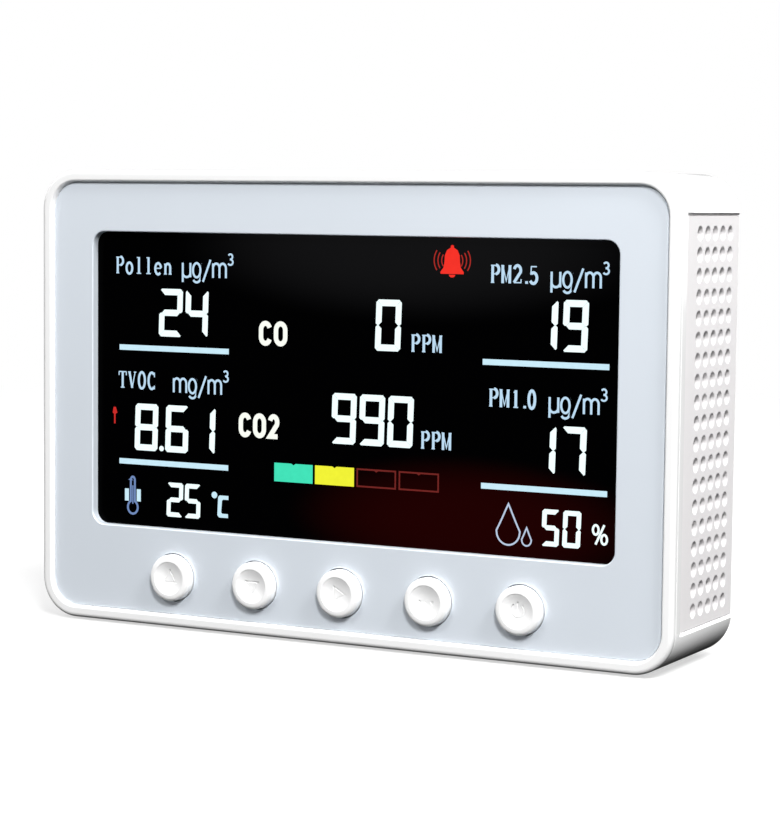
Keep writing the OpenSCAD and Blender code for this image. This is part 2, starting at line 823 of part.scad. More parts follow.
module tvoc_sensor() {
    color("silver") on_board(tvoc_x, tvoc_z) rotate([-90, 0, 0]) difference() {
        union() {
            cylinder(h = tvoc_h, r = tvoc_r);
            cylinder(h = 0.8, r = tvoc_r + 0.6);
        }
        for (a = [0:60:300]) rotate([0, 0, a]) translate([2, 0, tvoc_h - 0.5]) cylinder(h = 1, r = 0.5);
    }
}

module climate_sensor() {
    color("black") on_board(climate_x, mid_z) difference() {
        translate([-climate_w / 2, 0, -climate_w / 2]) cube([climate_w, climate_t, climate_w]);
        translate([0, climate_t - 0.3, 0]) rotate([-90, 0, 0]) cylinder(h = 1, r = 0.6);
    }
}

// Power: a flat cell on the back wall, and a charging board with its socket.

module battery_cell() {
    middle = battery_z + battery_size[2] / 2;
    color("silver")
        slab(battery_size[0], battery_size[2], 2, battery_y, battery_y + battery_size[1], z = middle);
}

module battery_tape() {
    color("black") block([-tape_w / 2, inner_back_y - tape_t, battery_z + 2],
                         [tape_w / 2, inner_back_y, battery_z + battery_size[2] - 4]);
}

// A round lead through a list of points.
module lead(points, r = 0.8) {
    for (i = [0:len(points) - 2]) {
        run = points[i + 1] - points[i];
        length = norm(run);
        translate(points[i]) rotate([0, acos(run[2] / length), atan2(run[1], run[0])])
            cylinder(h = length, r = r);
    }
    for (i = [1:len(points) - 2]) translate(points[i]) sphere(r * 1.04);
}

module battery_lead() {
    plug_y = board_back_y + plug_depth;
    x = battery_plug[0];
    y = battery_y + battery_size[1] / 2;
    top = battery_plug[1];
    color("red") lead([[x, y, battery_z + battery_size[2]], [x, y, top], [x, plug_y, top]]);
}

module dust_sensor_lead() {
    plug_y = board_back_y + plug_depth;
    x = dust_plug[0];
    color("gray") lead([[x, plug_y + 3, dust_z], [x, plug_y + 3, dust_plug[1]], [x, plug_y, dust_plug[1]]]);
}

module charge_lead() {
    plug_y = board_back_y + plug_depth;
    x = charge_plug[0];
    low = charge_z + charge_size[2];
    color("red") lead([[x, plug_y + 3, low], [x, plug_y + 3, charge_plug[1]], [x, plug_y, charge_plug[1]]]);
}

module charge_board() {
    far_y = inner_back_y - 0.3;
    half = charge_size[0] / 2;
    color("seagreen") difference() {
        block([-half, far_y - charge_size[1], charge_z], [half, far_y, charge_z + charge_size[2]]);
        for (x = [-1, 1])
            translate([x * charge_screw_x, charge_screw_y, charge_z - 1]) cylinder(h = 4, r = 1);
    }
}

module charge_board_screws() {
    color("silver") for (x = [-1, 1]) translate([x * charge_screw_x, charge_screw_y, 0]) {
        translate([0, 0, charge_z - 4.5]) cylinder(h = 4.6 + charge_size[2], r = board_screw_r);
        translate([0, 0, charge_z + charge_size[2]]) cylinder(h = board_screw_head_t, r = board_screw_head_r);
    }
}

module usb_c_shell() {
    mouth_y = back_y - usb_recess;
    r = usb_h / 2 - 0.01;
    color("silver") difference() {
        slab(usb_w, usb_h, r, mouth_y - usb_len, mouth_y, z = usb_z);
        slab(usb_w - 2 * usb_wall, usb_h - 2 * usb_wall, r - usb_wall, mouth_y - usb_len + 1, mouth_y + 1,
             z = usb_z);
    }
}

module usb_c_tongue() {
    mouth_y = back_y - usb_recess;
    color("black") block([-3.35, mouth_y - usb_len + 1, usb_z - 0.35], [3.35, mouth_y - 0.6, usb_z + 0.35]);
}

front_frame();
front_panel();
rear_housing();
side_grille_left();
side_grille_right();
case_screws();
rubber_feet();
display_gasket();
lcd_front_polarizer();
lcd_front_glass();
lcd_rear_glass();
lcd_rear_polarizer();
backlight_diffuser();
backlight_light_guide();
backlight_reflector();
backlight_led_strip();
lcd_holder();
lcd_pins();
main_board();
main_board_screws();
microcontroller();
microcontroller_legs();
board_capacitors();
board_connectors();
buzzer();
switch_housings();
button_cap_up();
button_cap_down();
button_cap_next();
button_cap_menu();
button_cap_power();
switch_plunger_up();
switch_plunger_down();
switch_plunger_next();
switch_plunger_menu();
switch_plunger_power();
dust_sensor_tray();
dust_sensor_lid();
dust_sensor_board();
dust_sensor_laser();
dust_fan_frame();
dust_fan_rotor();
co2_sensor_board();
co2_sensor_housing();
co2_sensor_filters();
co_sensor_can();
co_sensor_cap();
tvoc_sensor();
climate_sensor();
battery_cell();
battery_tape();
battery_lead();
dust_sensor_lead();
charge_lead();
charge_board();
usb_c_shell();
usb_c_tongue();
charge_board_screws();
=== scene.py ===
# Visual model of an air quality monitor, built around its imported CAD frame.
import json
import math

import bpy
from mathutils import Matrix, Vector
from mathutils.geometry import tessellate_polygon


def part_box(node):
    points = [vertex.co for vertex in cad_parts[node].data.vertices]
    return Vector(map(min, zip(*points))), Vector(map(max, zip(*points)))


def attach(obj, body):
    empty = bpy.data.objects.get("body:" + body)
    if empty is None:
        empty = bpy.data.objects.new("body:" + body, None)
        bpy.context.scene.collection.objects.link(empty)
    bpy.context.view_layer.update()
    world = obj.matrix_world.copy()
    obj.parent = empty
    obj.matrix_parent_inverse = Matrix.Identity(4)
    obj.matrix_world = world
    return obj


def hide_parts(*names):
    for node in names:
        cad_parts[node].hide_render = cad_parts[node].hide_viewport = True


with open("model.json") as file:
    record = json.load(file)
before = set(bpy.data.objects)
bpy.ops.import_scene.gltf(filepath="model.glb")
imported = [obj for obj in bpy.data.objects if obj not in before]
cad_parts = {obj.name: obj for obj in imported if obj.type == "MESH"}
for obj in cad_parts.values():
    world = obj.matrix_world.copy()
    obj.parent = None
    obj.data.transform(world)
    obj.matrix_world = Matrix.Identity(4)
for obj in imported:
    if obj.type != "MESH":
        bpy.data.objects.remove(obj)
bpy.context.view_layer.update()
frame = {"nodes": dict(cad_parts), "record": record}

MM = 0.001

# ---------------------------------------------------------------- dimensions, in millimetres


def box_mm(node):
    low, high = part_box(node)
    return low / MM, high / MM


housing_low, housing_high = box_mm("rear_housing")
display_low, display_high = box_mm("lcd_front_polarizer")

case_w = housing_high.x - housing_low.x
case_h = housing_high.z - housing_low.z
case_mid_z = (housing_high.z + housing_low.z) / 2
rim_y = box_mm("front_frame")[0].y
panel_y = box_mm("front_panel")[0].y
back_y = housing_high.y
display_y = display_low.y
window_z = (display_low.z + display_high.z) / 2
corner_r = 9.0
wall = 2.2
rim_w = 2.8
seam_y = panel_y + 0.9
seam_r = 0.25
grille_front_y = panel_y + 3.2
inner_back_y = back_y - wall
window_w = 130.0
window_h = 67.0
window_r = 3.0


# ---------------------------------------------------------------- mesh tools


def put(name, mesh, material, body="case", replaces=(), sharp=32):
    """Adds a mesh as a piece that rides on a body. Faces square to an axis are shaded flat."""
    piece = bpy.data.objects.new(name, mesh)
    bpy.context.scene.collection.objects.link(piece)
    mesh.materials.append(material)
    mesh.shade_smooth()
    mesh.set_sharp_from_angle(angle=math.radians(sharp))
    for face in mesh.polygons:
        if max(abs(part) for part in face.normal) > 0.99999:
            face.use_smooth = False
    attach(piece, body)
    if replaces:
        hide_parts(*replaces)
    return piece


def build(name, points, faces):
    """A mesh from points in millimetres, with its faces turned outwards."""
    import bmesh

    mesh = bpy.data.meshes.new(name)
    mesh.from_pydata([Vector(p) * MM for p in points], [], faces)
    work = bmesh.new()
    work.from_mesh(mesh)
    bmesh.ops.remove_doubles(work, verts=work.verts, dist=1e-7)
    bmesh.ops.recalc_face_normals(work, faces=work.faces)
    work.to_mesh(mesh)
    work.free()
    return mesh


def rounded(w, h, r, x=0.0, z=0.0, steps=14):
    """A rectangle with round corners, as a function of how far it is grown."""

    def loop(grow=0.0):
        radius = max(r + grow, 0.001)
        points = []
        for corner, (sx, sz) in enumerate(((1, 1), (-1, 1), (-1, -1), (1, -1))):
            for i in range(steps + 1):
                a = math.pi / 2 * (corner + i / steps)
                cx, cz = x + sx * (w / 2 - r), z + sz * (h / 2 - r)
                points.append((cx + radius * math.cos(a), cz + radius * math.sin(a)))
        return points

    return loop


def circle(r, x=0.0, z=0.0, steps=48):
    def loop(grow=0.0):
        turns = [2 * math.pi * i / steps for i in range(steps)]
        return [(x + (r + grow) * math.cos(a), z + (r + grow) * math.sin(a)) for a in turns]

    return loop


def front_xz(u, v, depth):
    """Places a plate's plan in the XZ plane, with its depth along Y."""
    return (u, depth, v)


def ring_faces(first, second, count):
    return [(first + i, first + (i + 1) % count, second + (i + 1) % count, second + i) for i in range(count)]


def plate(loops, place=front_xz):
    """A plate with holes. Each loop is (function, inward, profile). The profile lists how far the edge lies
    inside the material and at what depth, from the front cap to the back cap."""
    points, faces, front, back = [], [], [], []
    for loop, inward, profile in loops:
        starts = []
        for inset, depth in profile:
            starts.append(len(points))
            ring = loop(-inset if inward else inset)
            points += [place(u, v, depth) for u, v in ring]
        count = len(ring)
        for a, b in zip(starts, starts[1:]):
            faces += ring_faces(a, b, count)
        front.append(list(range(starts[0], starts[0] + count)))
        back.append(list(range(starts[-1], starts[-1] + count)))
    for cap in (front, back):
        index = [i for ring in cap for i in ring]
        flat = [[Vector(points[i]) for i in ring] for ring in cap]
        faces += [tuple(index[k] for k in tri) for tri in tessellate_polygon(flat)]
    return points, faces


def edge_profile(y0, y1, front_r, steps=6):
    """A plate's edge from its front cap to its back cap, rounded at the front."""
    turns = [math.pi / 2 * i / steps for i in range(steps + 1)]
    return [(front_r * (1 - math.sin(a)), y0 + front_r * (1 - math.cos(a))) for a in turns] + [(0.0, y1)]


def sweep(loop, profile):
    """A closed profile of (grow, depth) points taken round a loop."""
    points, faces, starts = [], [], []
    for grow, depth in profile:
        starts.append(len(points))
        ring = loop(grow)
        points += [front_xz(u, v, depth) for u, v in ring]
    count = len(ring)
    for a, b in zip(starts, starts[1:] + starts[:1]):
        faces += ring_faces(a, b, count)
    return points, faces


def arc(cx, cy, r, a0, a1, steps=8):
    return [(cx + r * math.cos(math.radians(a0 + (a1 - a0) * i / steps)),
             cy + r * math.sin(math.radians(a0 + (a1 - a0) * i / steps))) for i in range(steps + 1)]


def revolve(profile, x, z, steps=96):
    """A profile of (radius, depth) points turned round an axis along Y. Radius 0 closes an end."""
    points, faces, rings = [], [], []
    for radius, depth in profile:
        if radius < 1e-6:
            rings.append([len(points)])
            points.append((x, depth, z))
            continue
        rings.append(list(range(len(points), len(points) + steps)))
        for i in range(steps):
            a = 2 * math.pi * i / steps
            points.append((x + radius * math.cos(a), depth, z + radius * math.sin(a)))
    for a, b in zip(rings, rings[1:]):
        for i in range(steps):
            j = (i + 1) % steps
            if len(a) == 1:
                faces.append((a[0], b[j], b[i]))
            elif len(b) == 1:
                faces.append((a[i], a[j], b[0]))
            else:
                faces.append((a[i], a[j], b[j], b[i]))
    return points, faces


def join(*parts):
    points, faces = [], []
    for more_points, more_faces in parts:
        shift = len(points)
        points += more_points
        faces += [tuple(i + shift for i in face) for face in more_faces]
    return points, faces


def cut(mesh, cutters):
    """The mesh with each closed cutter taken out of it."""
    body = bpy.data.objects.new("cut_body", mesh)
    bpy.context.scene.collection.objects.link(body)
    made = []
    for points, faces in cutters:
        tool = bpy.data.objects.new("cut_tool", build("cut_tool", points, faces))
        bpy.context.scene.collection.objects.link(tool)
        made.append(tool)
        modifier = body.modifiers.new("cut", "BOOLEAN")
        modifier.operation = "DIFFERENCE"
        modifier.solver = "EXACT"
        modifier.object = tool
    graph = bpy.context.evaluated_depsgraph_get()
    result = bpy.data.meshes.new_from_object(body.evaluated_get(graph))
    result.materials.clear()
    for piece in [body, *made]:
        bpy.data.objects.remove(piece)
    return result


def block(low, high):
    (x0, y0, z0), (x1, y1, z1) = low, high
    points = [(x, y, z) for x in (x0, x1) for y in (y0, y1) for z in (z0, z1)]
    return points, [(0, 1, 3, 2), (4, 6, 7, 5), (0, 4, 5, 1), (2, 3, 7, 6), (0, 2, 6, 4), (1, 5, 7, 3)]


def turned(part, angle, axis, centre):
    turn = Matrix.Rotation(math.radians(angle), 3, axis)
    points = [tuple(turn @ (Vector(p) - Vector(centre)) + Vector(centre)) for p in part[0]]
    return points, part[1]


def mirrored(part):
    return [(-x, y, z) for x, y, z in part[0]], part[1]


# ---------------------------------------------------------------- materials


def node_tree(name):
    material = bpy.data.materials.new(name)
    material.use_nodes = True
    tree = material.node_tree
    return material, tree, tree.nodes["Principled BSDF"]


def noise(tree, scale, detail=3.0, rough=0.55):
    place = tree.nodes.new("ShaderNodeTexCoord")
    texture = tree.nodes.new("ShaderNodeTexNoise")
    texture.inputs["Scale"].default_value = scale
    texture.inputs["Detail"].default_value = detail
    texture.inputs["Roughness"].default_value = rough
    tree.links.new(place.outputs["Object"], texture.inputs["Vector"])
    return texture


def spread(tree, source, low, high, start=0.0, end=1.0, smooth=False):
    """Maps a value between start and end to the range from low to high."""
    ranger = tree.nodes.new("ShaderNodeMapRange")
    ranger.interpolation_type = "SMOOTHSTEP" if smooth else "LINEAR"
    for name, value in (("From Min", start), ("From Max", end), ("To Min", low), ("To Max", high)):
        ranger.inputs[name].default_value = value
    tree.links.new(source, ranger.inputs["Value"])
    return ranger.outputs["Result"]


def sum_of(tree, operation, *terms):
    """A Math node. A term is a socket or a number."""
    node = tree.nodes.new("ShaderNodeMath")
    node.operation = operation
    for term, entry in zip(terms, node.inputs):
        if isinstance(term, float):
            entry.default_value = term
        else:
            tree.links.new(term, entry)
    return node.outputs["Value"]


def bumps(tree, shader, height, strength, distance):
    bump = tree.nodes.new("ShaderNodeBump")
    bump.inputs["Strength"].default_value = strength
    bump.inputs["Distance"].default_value = distance
    tree.links.new(height, bump.inputs["Height"])
    tree.links.new(bump.outputs["Normal"], shader.inputs["Normal"])


def mix_colours(tree, factor, a, b):
    mix = tree.nodes.new("ShaderNodeMix")
    mix.data_type = "RGBA"
    mix.inputs["A"].default_value = (*a, 1)
    mix.inputs["B"].default_value = (*b, 1)
    tree.links.new(factor, mix.inputs["Factor"])
    return mix.outputs["Result"]


def moulded(name, colour, shade=0.97, roughness=(0.3, 0.4), grain=0.03, grain_scale=2600.0, coat=0.0,
            metallic=0.0, specular=0.5, wave_scale=14.0):
    """Moulded or painted plastic: a faint drift of colour, uneven gloss and a fine grain."""
    material, tree, shader = node_tree(name)
    drift = noise(tree, wave_scale, 2.0)
    darker = tuple(c * shade for c in colour)
    colour_out = mix_colours(tree, drift.outputs["Fac"], darker, colour)
    tree.links.new(colour_out, shader.inputs["Base Color"])
    wear = noise(tree, 90.0, 4.0)
    tree.links.new(spread(tree, wear.outputs["Fac"], *roughness), shader.inputs["Roughness"])
    texture = noise(tree, grain_scale, 2.0, 0.5)
    bumps(tree, shader, texture.outputs["Fac"], grain, 0.0002)
    shader.inputs["Metallic"].default_value = metallic
    shader.inputs["Specular IOR Level"].default_value = specular
    shader.inputs["Coat Weight"].default_value = coat
    shader.inputs["Coat Roughness"].default_value = 0.08
    return material


def brushed(name, colour, roughness=(0.25, 0.45), stretch=30.0):
    """Metal with fine brush marks along X."""
    material, tree, shader = node_tree(name)
    place = tree.nodes.new("ShaderNodeTexCoord")
    scaler = tree.nodes.new("ShaderNodeMapping")
    scaler.inputs["Scale"].default_value = (1.0, stretch, stretch)
    tree.links.new(place.outputs["Object"], scaler.inputs["Vector"])
    marks = tree.nodes.new("ShaderNodeTexNoise")
    marks.inputs["Scale"].default_value = 220.0
    marks.inputs["Detail"].default_value = 4.0
    tree.links.new(scaler.outputs["Vector"], marks.inputs["Vector"])
    darker = tuple(c * 0.82 for c in colour)
    tree.links.new(mix_colours(tree, marks.outputs["Fac"], darker, colour), shader.inputs["Base Color"])
    tree.links.new(spread(tree, marks.outputs["Fac"], *roughness), shader.inputs["Roughness"])
    bumps(tree, shader, marks.outputs["Fac"], 0.15, 0.0001)
    shader.inputs["Metallic"].default_value = 1.0
    return material


def glassy(name, colour, roughness=(0.02, 0.06)):
    material, tree, shader = node_tree(name)
    smudge = noise(tree, 60.0, 4.0)
    tree.links.new(spread(tree, smudge.outputs["Fac"], *roughness), shader.inputs["Roughness"])
    paler = tuple(min(1.0, c * 1.05) for c in colour)
    tree.links.new(mix_colours(tree, smudge.outputs["Fac"], colour, paler), shader.inputs["Base Color"])
    shader.inputs["Transmission Weight"].default_value = 0.9
    shader.inputs["IOR"].default_value = 1.49
    return material


def circuit(name, colour, trace):
    """Solder mask over copper traces and pads."""
    material, tree, shader = node_tree(name)
    place = tree.nodes.new("ShaderNodeTexCoord")
    cells = tree.nodes.new("ShaderNodeTexBrick")
    cells.inputs["Scale"].default_value = 260.0
    cells.inputs["Mortar Size"].default_value = 0.035
    cells.inputs["Color1"].default_value = (*colour, 1)
    cells.inputs["Color2"].default_value = (*(c * 0.85 for c in colour), 1)
    cells.inputs["Mortar"].default_value = (*trace, 1)
    turn = tree.nodes.new("ShaderNodeMapping")
    turn.inputs["Rotation"].default_value = (math.pi / 2, 0, 0)
    tree.links.new(place.outputs["Object"], turn.inputs["Vector"])
    tree.links.new(turn.outputs["Vector"], cells.inputs["Vector"])
    tree.links.new(cells.outputs["Color"], shader.inputs["Base Color"])
    sheen = noise(tree, 300.0, 2.0)
    tree.links.new(spread(tree, sheen.outputs["Fac"], 0.25, 0.45), shader.inputs["Roughness"])
    bumps(tree, shader, cells.outputs["Fac"], 0.3, 0.0001)
    return material


def lit(name, colour, strength, edge=0.86):
    """A lit display segment: an even glow with a faint cell structure."""
    material, tree, shader = node_tree(name)
    cells = noise(tree, 900.0, 1.0)
    dimmer = tuple(c * edge for c in colour)
    out = mix_colours(tree, spread(tree, cells.outputs["Fac"], 0.2, 1.0), dimmer, colour)
    tree.links.new(out, shader.inputs["Emission Color"])
    shader.inputs["Emission Strength"].default_value = strength
    shader.inputs["Base Color"].default_value = (0.01, 0.01, 0.01, 1)
    shader.inputs["Specular IOR Level"].default_value = 0.1
    tree.links.new(spread(tree, cells.outputs["Fac"], 0.4, 0.55), shader.inputs["Roughness"])
    return material


def black_display():
    """The polarizer: nearly black, with a faint warm leak of light low down, and a painted reflection at the
    top: a faint cool sheen put into its glow colour.
    """
    material, tree, shader = node_tree("display_black")
    place = tree.nodes.new("ShaderNodeTexCoord")
    split = tree.nodes.new("ShaderNodeSeparateXYZ")
    tree.links.new(place.outputs["Object"], split.inputs["Vector"])

    def glow(x, z, rx, rz):
        """Falls from 1 at its middle to 0 at the edge of an ellipse in the XZ plane."""
        squares = []
        for axis, centre, reach in (("X", x, rx), ("Z", z, rz)):
            offset = sum_of(tree, "SUBTRACT", split.outputs[axis], centre * MM)
            squares.append(sum_of(tree, "POWER", sum_of(tree, "DIVIDE", offset, reach * MM), 2.0))
        return spread(tree, sum_of(tree, "ADD", *squares), 1.0, 0.0, smooth=True)

    warm = mix_colours(tree, glow(30, window_z - 27, 46, 15), (0, 0, 0), (0.014, 0.0003, 0.0002))
    # Painted reflection: a faint cool grey sheen near the top, put into the emission colour as if the glossy
    # polarizer reflected a light.
    painted_top_sheen = mix_colours(tree, glow(16, window_z + 32, 62, 18), (0, 0, 0), (0.0062, 0.0062, 0.0066))
    both = tree.nodes.new("ShaderNodeMix")
    both.data_type = "RGBA"
    both.blend_type = "ADD"
    both.inputs["Factor"].default_value = 1.0
    tree.links.new(warm, both.inputs["A"])
    tree.links.new(painted_top_sheen, both.inputs["B"])
    tree.links.new(both.outputs["Result"], shader.inputs["Emission Color"])
    shader.inputs["Emission Strength"].default_value = 1.0
    shader.inputs["Base Color"].default_value = (0.0003, 0.0003, 0.0004, 1)
    smudge = noise(tree, 40.0, 4.0)
    tree.links.new(spread(tree, smudge.outputs["Fac"], 0.1, 0.2), shader.inputs["Roughness"])
    shader.inputs["Specular IOR Level"].default_value = 0.012
    return material


paint = {
    "case_plastic": moulded("case_white", (0.79, 0.79, 0.79), 0.985, (0.13, 0.2), 0.01, coat=0.4),
    "grille_plastic": moulded("grille_white", (0.68, 0.665, 0.67), 0.98, (0.42, 0.52), 0.08),
    "panel_coat": moulded("panel_silver", (0.80, 0.86, 0.93), 0.97, (0.34, 0.42), 0.05, 3200.0,
                          metallic=0.35),
    "button_plastic": moulded("button_white", (0.86, 0.86, 0.86), 0.985, (0.32, 0.42), 0.03),
    "screw_steel": brushed("zinc_steel", (0.6, 0.6, 0.62)),
    "foot_rubber": moulded("foot_rubber", (0.05, 0.05, 0.052), 0.7, (0.7, 0.9), 0.3),
    "display_black": black_display(),
    "display_glass": glassy("cell_glass", (0.8, 0.9, 0.88)),
    "gasket_foam": moulded("black_foam", (0.02, 0.02, 0.02), 0.6, (0.85, 0.98), 0.8, 1500.0),
    "backlight_film": moulded("milky_film", (0.86, 0.86, 0.84), 0.97, (0.5, 0.6), 0.05),
    "light_guide": glassy("clear_acrylic", (0.9, 0.95, 0.97)),
    "led_flex": moulded("flex_amber", (0.62, 0.42, 0.12), 0.85, (0.3, 0.45), 0.1),
    "white_inner": moulded("inner_white", (0.8, 0.8, 0.76), 0.95, (0.4, 0.5), 0.1),
    "pin_metal": brushed("tinned_metal", (0.78, 0.78, 0.8), (0.2, 0.35)),
    "board_green": circuit("board_green", (0.012, 0.12, 0.045), (0.03, 0.2, 0.08)),
    "black_plastic": moulded("inner_black", (0.018, 0.018, 0.02), 0.8, (0.4, 0.55), 0.2),
    "capacitor_sleeve": moulded("capacitor_blue", (0.02, 0.03, 0.16), 0.8, (0.2, 0.3), 0.05),
    "sensor_case": moulded("sensor_blue_grey", (0.10, 0.14, 0.2), 0.85, (0.4, 0.5), 0.15),
    "gold_metal": brushed("gold_plate", (0.85, 0.62, 0.28), (0.18, 0.3)),
    "rotor_plastic": moulded("rotor_black", (0.03, 0.03, 0.032), 0.8, (0.35, 0.45), 0.1),
    "cell_foil": brushed("cell_foil", (0.72, 0.72, 0.74), (0.25, 0.4), 6.0),
    "lead_red": moulded("lead_red", (0.45, 0.02, 0.02), 0.8, (0.4, 0.5), 0.1),
    "lead_gray": moulded("lead_gray", (0.25, 0.25, 0.26), 0.8, (0.4, 0.5), 0.1),
}
lit_white = lit("segment_white", (0.86, 1.0, 1.0), 1.15)
lit_label = lit("label_blue", (0.54, 0.76, 0.95), 1.0)
lit_line = lit("line_white", (0.62, 0.88, 1.0), 1.0)
lit_cream = lit("label_cream", (0.97, 1.0, 0.92), 1.05)
lit_teal = lit("bar_teal", (0.045, 0.80, 0.50), 1.0)
lit_yellow = lit("bar_yellow", (0.92, 0.93, 0.025), 1.0)
lit_red = lit("icon_red", (0.95, 0.02, 0.008), 1.0)
dim_red = lit("bar_dim_red", (0.16, 0.006, 0.003), 1.0)

slot_of = {s["node"]: s["material_slot"] for s in frame["record"]["subparts"]}
for node, piece in frame["nodes"].items():
    piece.data.materials.clear()
    piece.data.materials.append(paint[slot_of[node]])


# ---------------------------------------------------------------- case


def front_frame():
    inner = -rim_w
    fillet = 1.0
    profile = [(inner, panel_y + 1), (-4.6, panel_y + 1), (-4.6, grille_front_y)]
    profile += [(-wall - 0.15, grille_front_y), (-wall - 0.15, seam_y)]
    profile += arc(-seam_r, seam_y - seam_r, seam_r, 90, 0, 4)
    profile += arc(-fillet, rim_y + fillet, fillet, 0, -90)
    profile += arc(inner + 0.75, rim_y + 0.5, 0.5, -90, -145, 6)
    profile += [(inner, panel_y + 0.02)]
    ring = sweep(rounded(case_w, case_h, corner_r, 0, case_mid_z, 24), profile)
    bosses = [revolve([(1.32, -2.1), (2.8, -2.1), (2.8, -13.9), (1.32, -13.9), (1.32, -2.1)], x, z, 32)
              for x in (-71.1, 71.1) for z in (case_mid_z - case_h / 2 + 7.4, case_mid_z + case_h / 2 - 7.4)]
    mesh = build("front_frame_shell", *join(ring, *bosses))
    put("front_frame_shell", mesh, paint["case_plastic"], replaces=["front_frame"])


button_x = [(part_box("button_cap_" + k)[0].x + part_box("button_cap_" + k)[1].x) / 2 / MM
            for k in ("up", "down", "next", "menu", "power")]
button_z = (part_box("button_cap_up")[0].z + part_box("button_cap_up")[1].z) / 2 / MM
button_r = 5.25


def front_panel():
    top_y, low_y = panel_y, display_y
    margin = rim_w + 0.02
    edge = [(0.35, top_y), (0.1, top_y + 0.08), (0, top_y + 0.3), (0, top_y + 1)]
    edge += [(4.7 - margin, top_y + 1), (4.7 - margin, low_y)]
    plan = rounded(case_w - 2 * margin, case_h - 2 * margin, corner_r - margin, 0, case_mid_z, 24)
    outer = (plan, True, edge)
    window = (rounded(window_w, window_h, window_r, 0, window_z), False, edge_profile(top_y, low_y, 0.28))
    holes = [(circle(button_r + 0.25, x, button_z), False, edge_profile(top_y, low_y, 0.2)) for x in button_x]
    mesh = build("front_panel_plate", *plate([outer, window, *holes]))
    put("front_panel_plate", mesh, paint["panel_coat"], replaces=["front_panel"])


front_frame()
front_panel()

grille_sink = 0.5
grille_end = 8.6
grille_gap = 0.15
vent_r, vent_pitch, vent_rows, vent_cols, vent_back_in = 1.5, 4.35, 19, 5, 5.2


def side_grille(side):
    """The perforated insert of one side, seen from outside, with softened edges."""
    outer_x = case_w / 2 - grille_sink
    end = case_h / 2 - grille_end - 0.02
    front = grille_front_y + grille_gap

    def on_side(u, v, depth):
        return (side * (outer_x - depth), u, v)

    edge = edge_profile(0, 2.0, 0.3)
    plan = rounded(back_y - front, 2 * end, 0.15, (back_y + front) / 2, case_mid_z, 3)
    holes = []
    for col in range(vent_cols):
        for row in range(vent_rows):
            y = back_y - vent_back_in - col * vent_pitch
            z = case_mid_z + (row - (vent_rows - 1) / 2) * vent_pitch
            holes.append((circle(vent_r, y, z, 28), False, edge_profile(0, 2.0, 0.14, steps=3)))
    name = "side_grille_right" if side > 0 else "side_grille_left"
    mesh = build(name + "_plate", *plate([(plan, True, edge), *holes], on_side))
    put(name + "_plate", mesh, paint["grille_plastic"], replaces=[name])


def keyhole(x, z, entry_r=4.0, slot_r=2.0, rise=6.5):
    """The outline of a keyhole, as a function of how far it is grown."""

    def loop(grow=0.0):
        big, small = entry_r + grow, slot_r + grow
        join_angle = math.degrees(math.asin(small / big))
        lower = arc(x, z, big, 90 + join_angle, 450 - join_angle, 36)
        upper = arc(x, z + rise, small, 0, 180, 16)
        return lower + upper

    return loop


def drill(loop, depth, edge=0.3):
    """A cutter from behind the back wall, with a broken edge where it enters."""
    profile = [(edge + 0.2, back_y + 0.2), (edge, back_y), (0, back_y - edge), (0, back_y - depth)]
    return plate([(loop, False, profile)])


hook_z = housing_low.z + 79.4
post_places = [(x, z) for x in (-1, 1) for z in (-1, 1)]
post_in = 7.4
usb_low, usb_high = box_mm("usb_c_shell")
usb_z = (usb_low.z + usb_high.z) / 2
usb_w, usb_h = usb_high.x - usb_low.x, usb_high.z - usb_low.z


def rear_housing():
    fillet = 1.2
    outline = rounded(case_w, case_h, corner_r, 0, case_mid_z, 24)
    profile = [(-fillet * (1 - math.sin(math.radians(a))), back_y - fillet * (1 - math.cos(math.radians(a))))
               for a in range(0, 91, 10)]
    profile += [(-seam_r * (1 - math.cos(math.radians(a))), seam_y + seam_r * (1 - math.sin(math.radians(a))))
                for a in (0, 30, 60, 90)]
    profile += [(-wall, seam_y), (-wall, inner_back_y)]
    shell = build("rear_housing_shell", *plate([(outline, False, profile)]))
    low = case_mid_z - case_h / 2 + grille_end
    high = case_mid_z + case_h / 2 - grille_end
    half = case_w / 2
    deep = half - grille_sink - 2.0
    chamfer = 0.55 * math.sqrt(2) / 2
    window = [block((half - wall - 1, grille_front_y, low), (half + 1, inner_back_y, high)),
              block((deep, grille_front_y, low + 0.001), (half + 1, back_y + 1, high - 0.001))]
    for z in (low, high):
        bar = block((half - chamfer, grille_front_y + 0.001, z - chamfer),
                    (half + chamfer, back_y + 2, z + chamfer))
        window.append(turned(bar, 45, "Y", (half, 0, z)))
    cutters = window + [mirrored(part) for part in window]
    cutters += [drill(keyhole(x, hook_z), wall + 1, 0.4) for x in (-25, 25)]
    for sx, sz in post_places:
        x, z = sx * (half - post_in), case_mid_z + sz * (case_h / 2 - post_in)
        cutters.append(drill(circle(2.8, x, z), wall + 0.5))
    cutters.append(drill(rounded(usb_w + 0.7, usb_h + 0.7, (usb_h + 0.68) / 2, 0, usb_z, 10), wall + 1, 0.05))
    dish = rounded(usb_w + 3, usb_h + 3, (usb_h + 2.98) / 2, 0, usb_z, 10)
    cutters.append(drill(dish, 0.8, 0.3))
    mesh = cut(shell, cutters)
    put("rear_housing_shell", mesh, paint["case_plastic"], replaces=["rear_housing"])


